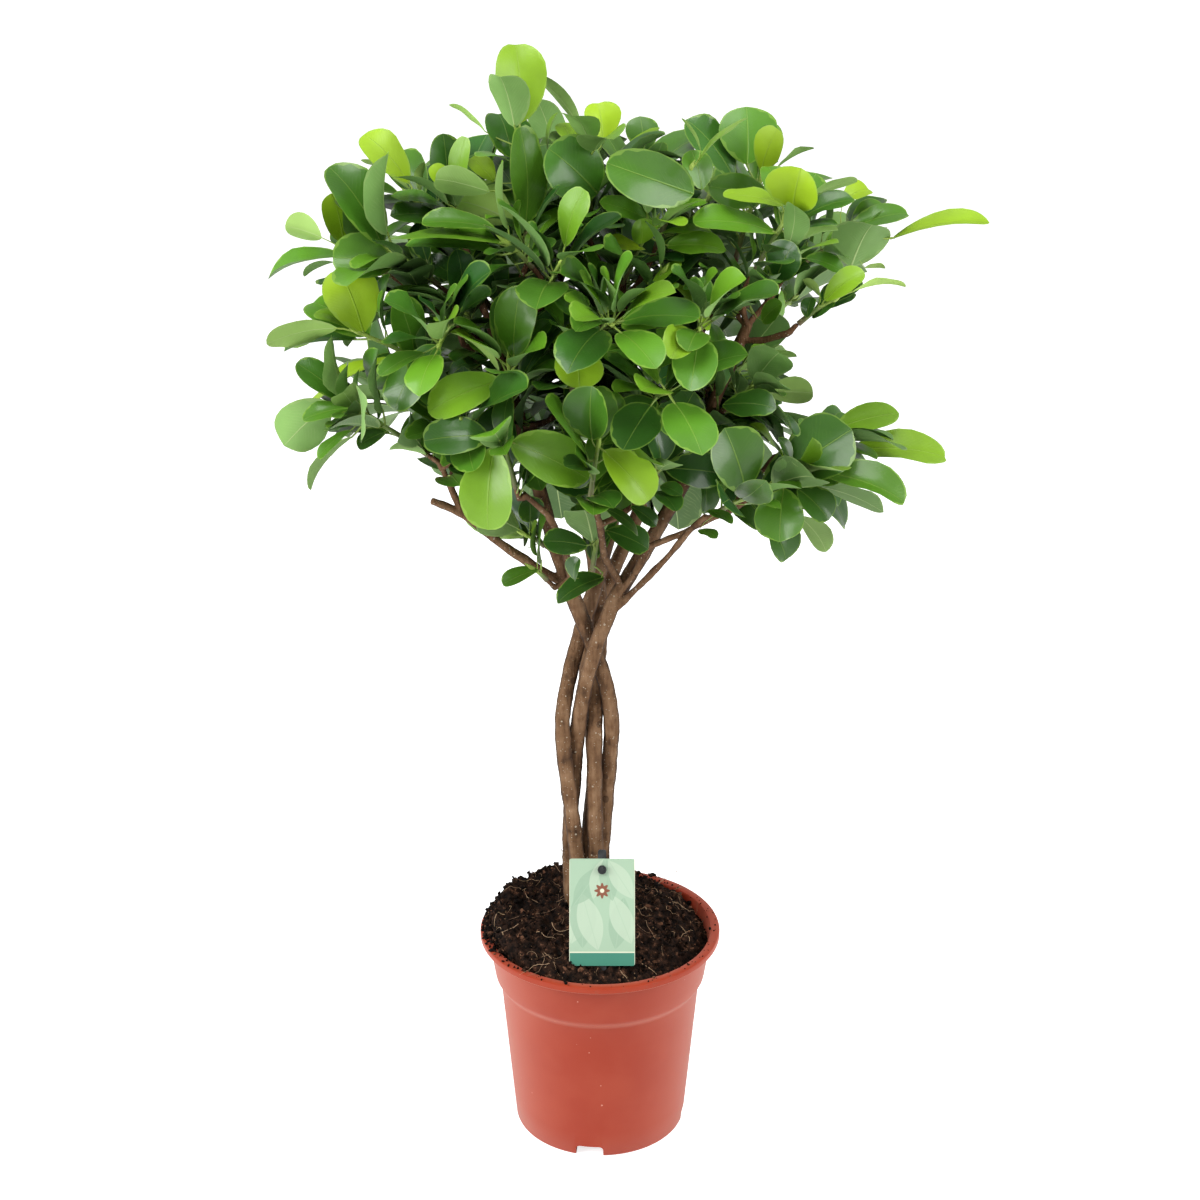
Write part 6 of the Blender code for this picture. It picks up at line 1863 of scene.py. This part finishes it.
@dataclass
class Soil:
    """The peat: mounded and heaped at the left and back, crumbly, with dry root fibres."""

    seed: int = 5
    radius: float = 0.0634
    edge: float = 0.1252
    drop: float = 0.003
    spill: float = 0.0015
    mound: float = 0.0073
    heap: float = 0.015
    heap_side: Place = (-0.85, 0.45, 0.0)
    raised: float = 0.0018
    foot: Place = (-0.013, -0.005, 0.0)
    foot_heap: float = 0.0060
    foot_reach: float = 0.021
    roughness: float = 0.0022
    rough_size: float = 0.016
    rim_radius: float = 0.070
    rim_height: float = 0.125
    cells: int = 200
    depth: float = 0.016
    crumbs: int = 2600
    rim_crumbs: int = 150
    heap_crumbs: int = 760
    fibres: int = 80

    def level(self, x: float, y: float) -> float:
        """The height of the soil's surface, before its crumbs."""
        place = Vector((x, y, 0.0))
        reach = min(place.length / self.rim_radius, 1)
        mound = self.mound * (1 - reach * reach)
        heap = self.heap * place.dot(Vector(self.heap_side)) / self.rim_radius * reach
        rough = self.roughness * noise.noise(Vector((x, y, 0.3)) / self.rough_size)
        return self.edge + mound + heap + rough

    def surface(self, x: float, y: float) -> float:
        """The height of the crumbly surface, which falls off at the pot's wall."""
        reach = sqrt(x * x + y * y) / self.radius
        level = self.level(x, y)
        brink = max((reach - 0.9) / 0.1, 0.0)
        kept = self.rim_height + self.spill + 0.0025 * max(self.heaped(x, y), 0.0)
        level -= brink * brink * max(level - kept, 0.0015)
        place = Vector((x, y, 0.0))
        level += self.raised * (1 - min(reach, 1) ** 6)
        level += self.foot_heap * exp(-((place - Vector(self.foot)).length / self.foot_reach) ** 2)
        lumps = noise.fractal(place / 0.0036, 0.9, 2.2, 4)
        clods = abs(noise.noise(place / 0.0068 + Vector((7, 3, 1))))
        return level + 0.0024 * lumps - 0.0042 * clods + 0.0011

    def heaped(self, x: float, y: float) -> float:
        """How far a place lies towards the heaped side, from -1 to 1."""
        place = Vector((x, y, 0.0))
        return place.normalized().dot(Vector(self.heap_side).normalized())

    def build_bed(self, peat: bpy.types.Material) -> bpy.types.Object:
        """The bed of soil: a fine disc, raised point by point, with a skirt under it."""
        Bench.clear()
        size = self.radius * 2.04
        bpy.ops.mesh.primitive_grid_add(
            x_subdivisions=self.cells, y_subdivisions=self.cells, size=size, location=(0, 0, 0)
        )
        bed = bpy.context.object
        bed.name = "peat_bed"
        Bench.edit(bed)
        Bench.pick(bed, lambda p: p.length > self.radius)
        bpy.ops.mesh.delete(type="VERT")
        bpy.ops.mesh.select_all(action="SELECT")
        bpy.ops.mesh.region_to_loop()
        down = {"value": (0, 0, -self.depth)}
        bpy.ops.mesh.extrude_region_move(TRANSFORM_OT_translate=down)
        bpy.ops.transform.resize(value=(0.94, 0.94, 1.0), center_override=(0, 0, -self.depth))
        bpy.ops.mesh.edge_face_add()
        bpy.ops.mesh.select_all(action="SELECT")
        bpy.ops.mesh.normals_make_consistent(inside=False)
        Bench.clear()
        floor = self.edge - self.depth
        cell = size / self.cells
        for point in bed.data.vertices:
            x, y, z = point.co
            reach = sqrt(x * x + y * y)
            if z < -self.depth / 2:
                point.co.z = floor
                continue
            if reach > self.radius - cell:
                x, y = x * self.radius / reach, y * self.radius / reach
            point.co = (x, y, self.surface(x, y))
        Bench.new_mark(bed, "shade", 0.0)
        Bench.dress(bed, peat)
        return Bench.finish(bed, Slot.SOIL, ["soil"], radians(180))

    def build_crumbs(self, peat: bpy.types.Material) -> bpy.types.Object:
        """The loose crumbs on the bed and on the pot's rim."""
        draws = random.Random(self.seed)
        Bench.clear()
        bpy.ops.mesh.primitive_ico_sphere_add(subdivisions=1, radius=1.0)
        crumb = bpy.context.object
        Bench.edit(crumb)
        bpy.ops.mesh.select_random(ratio=0.4, seed=3)
        bpy.ops.transform.resize(value=(0.7, 0.8, 0.75))
        bpy.ops.mesh.select_all(action="SELECT")
        bpy.ops.transform.vertex_random(offset=0.32, seed=8)
        Bench.clear()
        pattern = Pattern(crumb)
        copies = []
        heap_turn = Vector((1, 0)).angle_signed(Vector(self.heap_side[:2])) * -1
        lip = self.rim_radius - self.radius
        for number in range(self.crumbs + self.rim_crumbs + self.heap_crumbs):
            turn = draws.uniform(0, 2 * pi)
            if number < self.crumbs:
                reach = (self.radius - 0.0005) * sqrt(draws.random())
                size = 0.0004 + 0.0016 * draws.random() ** 2.2
                height = 0.0
            elif number < self.crumbs + self.rim_crumbs:
                reach = self.radius + draws.uniform(0, 0.85) * lip
                size = draws.uniform(0.0003, 0.0010)
                height = 0.0
            else:
                turn = heap_turn + draws.gauss(0, 0.55)
                share = draws.random()
                reach = self.radius + (share * 0.95 - 0.1) * lip
                size = draws.uniform(0.0005, 0.0020)
                height = draws.random() * 0.0042 * (1 - share)
            x, y = reach * cos(turn), reach * sin(turn)
            ground = height + self.ground(x, y)
            angles = [draws.uniform(0, 2 * pi) for _ in range(3)]
            stretch = np.array([draws.uniform(0.35, 1.6) for _ in range(3)]) * size
            points = turn_points(pattern.points * stretch, angles)
            points += np.array((x, y, ground + size * 0.25))
            shade = draws.uniform(-0.30, 0.06) if draws.random() < 0.90 else draws.uniform(0.06, 0.26)
            copies.append(pattern.copy(points, shade=shade))
        pattern.discard()
        piece = Bench.join("peat_crumbs", copies)
        Bench.dress(piece, peat)
        return Bench.finish(piece, Slot.SOIL, (), radians(28))

    def build_fibres(self, effects: Effects) -> bpy.types.Object:
        """The dry root fibres that lie on the soil, and those that stand out at the sides."""
        draws = random.Random(self.seed + 1)
        rod = rod_pattern("fibre_rod", 4, 6)
        copies = []
        for _ in range(self.fibres):
            turn, reach = draws.uniform(0, 2 * pi), self.radius * sqrt(draws.uniform(0.03, 0.98))
            heading = draws.uniform(0, 2 * pi)
            length = draws.uniform(0.005, 0.021)
            curve = draws.uniform(-2.2, 2.2)
            x, y = reach * cos(turn), reach * sin(turn)
            route = []
            for i in range(7):
                route.append((x, y))
                x += length / 6 * cos(heading)
                y += length / 6 * sin(heading)
                heading += curve / 6
            radius = draws.uniform(0.00010, 0.00022)
            lift = draws.uniform(0.0002, 0.0016)
            line = [
                Vector((x, y, self.ground(x, y) + radius + lift * sin(pi * i / 6)))
                for i, (x, y) in enumerate(route)
            ]
            radii = [radius * (1.1 - 0.12 * i) for i in range(7)]
            copies.append(rod.copy(lay_rod(rod, line, radii), shade=draws.uniform(0.1, 0.9)))
        eye = Eye()
        for radius, shade, places in self.standing_roots():
            line = [eye.spot(*place) for place in places]
            radii = np.linspace(radius, radius * 0.55, len(line))
            copies.append(rod.copy(lay_rod(rod, line, radii), shade=shade))
        rod.discard()
        piece = Bench.join("root_fibres", copies)
        Bench.dress(piece, FibreFinish().build(effects))
        return Bench.finish(piece, Slot.SOIL, (), radians(60))

    @staticmethod
    def standing_roots() -> tuple:
        """The thin roots that stand out of the soil: radius, shade and places seen."""
        return (
            (0.00022, 0.35, ((658, 884, -42), (664, 879, -44), (672, 873, -46), (682, 869, -48), (694, 868, -50))),
            (0.00016, 0.3, ((676, 872, -46), (684, 873, -47), (690, 875, -48), (693, 872, -49))),
            (0.00018, 0.15, ((566, 866, -4), (562, 858, -4), (561, 850, -3), (564, 846, -3))),
            (0.00018, 0.1, ((567, 862, 2), (563, 852, 3), (559, 846, 3), (557, 843, 4))),
            (0.00015, 0.1, ((566, 850, 2), (564, 842, 3), (560, 838, 3), (558, 840, 4))),
            (0.00020, 0.2, ((560, 872, 8), (556, 866, 8), (553, 863, 8))),
        )

    def ground(self, x: float, y: float) -> float:
        """What a fibre lies on: the soil, or the pot's rim beyond it."""
        if x * x + y * y > self.radius ** 2:
            return self.rim_height
        return self.surface(x, y)

    def build(self, effects: Effects) -> list[bpy.types.Object]:
        """The bed, its crumbs and its fibres."""
        peat = SoilFinish().build(effects)
        return [self.build_bed(peat), self.build_crumbs(peat), self.build_fibres(effects)]


def turn_points(points: np.ndarray, angles: Sequence[float]) -> np.ndarray:
    """Points turned about the three axes in order."""
    for axis, angle in enumerate(angles):
        first, second = (axis + 1) % 3, (axis + 2) % 3
        a = points[:, first] * cos(angle) - points[:, second] * sin(angle)
        b = points[:, first] * sin(angle) + points[:, second] * cos(angle)
        points = points.copy()
        points[:, first], points[:, second] = a, b
    return points


# ---------------------------------------------------------------- tag


@dataclass
class Tag:
    """The printed card that leans on its black stake, with the button that holds it."""

    width: float = 0.037
    height: float = 0.060
    thickness: float = 0.0008
    corner: float = 0.0012
    lean: float = radians(25)
    hole_drop: float = 0.0062
    hole_radius: float = 0.0019
    button_radius: float = 0.0026

    def __post_init__(self) -> None:
        """Finds the card's middle from its node."""
        low, high = (Vector(corner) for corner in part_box("tag_card"))
        self.centre = (low + high) / 2
        self.up = Vector((0, sin(self.lean), cos(self.lean)))
        self.out = Vector((0, -cos(self.lean), sin(self.lean)))

    def build_card(self, effects: Effects) -> bpy.types.Object:
        """The card: a board with rounded corners, soft edges and a hole."""
        Bench.clear()
        bpy.ops.mesh.primitive_cube_add(size=1.0)
        card = bpy.context.object
        card.name = "plant_card"
        Bench.edit(card)
        size = (self.width, self.thickness, self.height)
        bpy.ops.transform.resize(value=size, center_override=(0, 0, 0))
        wide, high = self.width * 0.45, self.height * 0.45
        Bench.pick(card, lambda p: abs(p.x) > wide and abs(p.z) > high, "EDGE")
        bpy.ops.mesh.bevel(offset=self.corner, segments=5)
        thin = self.thickness * 0.45
        Bench.pick(card, lambda p: abs(p.y) > thin, "FACE")
        bpy.ops.mesh.inset(thickness=0.00015)
        Bench.clear()
        bpy.ops.mesh.primitive_cylinder_add(
            vertices=28, radius=self.hole_radius, depth=0.01, rotation=(pi / 2, 0, 0),
            location=(0, 0, self.height / 2 - self.hole_drop),
        )
        Bench.cut(card, [bpy.context.object])
        layer = card.data.uv_layers.new(name="print")
        for loop in card.data.loops:
            x, _, z = card.data.vertices[loop.vertex_index].co
            layer.data[loop.index].uv = (x / self.width + 0.5, z / self.height + 0.5)
        for other in [uv for uv in card.data.uv_layers if uv.name != "print"]:
            card.data.uv_layers.remove(other)
        card.location = self.centre
        card.rotation_euler = (-self.lean, 0, 0)
        Bench.dress(card, CardFinish().build(effects))
        return Bench.finish(card, Slot.CARD, ["tag_card"], radians(30))

    def build_button(self, plastic: bpy.types.Material) -> bpy.types.Object:
        """The domed head that the stake's button carries, with its ring."""
        middle = self.centre + self.up * (self.height / 2 - self.hole_drop)
        Bench.clear()
        bpy.ops.mesh.primitive_circle_add(
            vertices=32, radius=self.button_radius * 0.86, fill_type="NGON"
        )
        button = bpy.context.object
        button.name = "stake_button"
        Bench.edit(button)
        for lift, scale in ((0.0004, 1.12), (0.0003, 0.9), (0.0, 0.72), (-0.0003, 0.92), (0.0003, 0.4)):
            bpy.ops.mesh.extrude_region_move(TRANSFORM_OT_translate={"value": (0, 0, lift)})
            bpy.ops.transform.resize(value=(scale, scale, 1.0))
        bpy.ops.mesh.select_all(action="SELECT")
        bpy.ops.mesh.normals_make_consistent(inside=False)
        Bench.clear()
        button.location = middle + self.out * (self.thickness / 2 + 0.0016)
        button.rotation_euler = (pi / 2 - self.lean, 0, 0)
        Bench.dress(button, plastic)
        return Bench.finish(button, Slot.STAKE, (), radians(45))

    def build(self, effects: Effects) -> list[bpy.types.Object]:
        """The card and the button; the stake's own node stays, in black plastic."""
        plastic = PlasticFinish().build(effects)
        stake = frame["nodes"]["tag_stake"]
        stake.data.materials.clear()
        stake.data.materials.append(plastic)
        return [self.build_card(effects), self.build_button(plastic)]


# ---------------------------------------------------------------- studio


@dataclass
class Studio:
    """The pale floor, the soft lights and the pale surroundings."""

    floor_size: float = 90.0
    floor_drop: float = 0.0004
    floor_seen: float = 0.75
    floor_glow: float = 0.12
    sky: float = 0.46
    panels: tuple[tuple[str, Place, float, float], ...] = (
        ("left_panel", (-1.20, -0.60, 0.85), 0.9, 22.0),
        ("right_panel", (1.20, -0.50, 0.80), 0.9, 15.0),
        ("top_panel", (0.0, -0.50, 1.65), 0.8, 13.0),
    )

    def build(self) -> None:
        """Sets the stage."""
        scene = bpy.context.scene
        scene.view_settings.view_transform = "Standard"
        Bench.clear()
        bpy.ops.mesh.primitive_plane_add(size=self.floor_size, location=(0, 0, -self.floor_drop))
        floor = bpy.context.object
        floor.name = "floor"
        Bench.dress(floor, self.floor_finish())
        floor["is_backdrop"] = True
        world = bpy.data.worlds.new("pale_room")
        scene.world = world
        world.use_nodes = True
        background = world.node_tree.nodes["Background"]
        background.inputs["Color"].default_value = (1, 1, 1, 1)
        background.inputs["Strength"].default_value = self.sky
        for name, place, size, power in self.panels:
            self.lamp(name, place, size, power)

    def floor_finish(self) -> bpy.types.Material:
        """A white floor, lit evenly to the eye."""
        material, wiring, shader = new_material("pale_floor")
        shader.inputs["Base Color"].default_value = (0.9, 0.9, 0.9, 1)
        shader.inputs["Roughness"].default_value = 0.9
        shader.inputs["Emission Color"].default_value = (1, 1, 1, 1)
        seen = wiring.add("ShaderNodeLightPath").outputs["Is Camera Ray"]
        glow = wiring.sum("MULTIPLY_ADD", seen, self.floor_seen - self.floor_glow, self.floor_glow)
        material.node_tree.links.new(glow, shader.inputs["Emission Strength"])
        return material

    @staticmethod
    def lamp(name: str, place: Place, size: float, power: float) -> None:
        """A square panel light that faces the plant."""
        light = bpy.data.lights.new(name, "AREA")
        light.energy = power
        light.size = size
        lamp = bpy.data.objects.new(name, light)
        bpy.context.scene.collection.objects.link(lamp)
        lamp.location = place
        aim = Vector((0, 0, 0.33)) - Vector(place)
        lamp.rotation_euler = aim.to_track_quat("-Z", "Y").to_euler()


def main() -> None:
    """Builds and reports every piece."""
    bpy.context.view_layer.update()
    Eye().build()
    effects = Effects()
    crown = Crown()
    Pot().build(effects)
    Soil().build(effects)
    Tag().build(effects)
    Wood().build(effects)
    crown.build(effects)
    Studio().build()


if __name__ == "__main__":
    main()
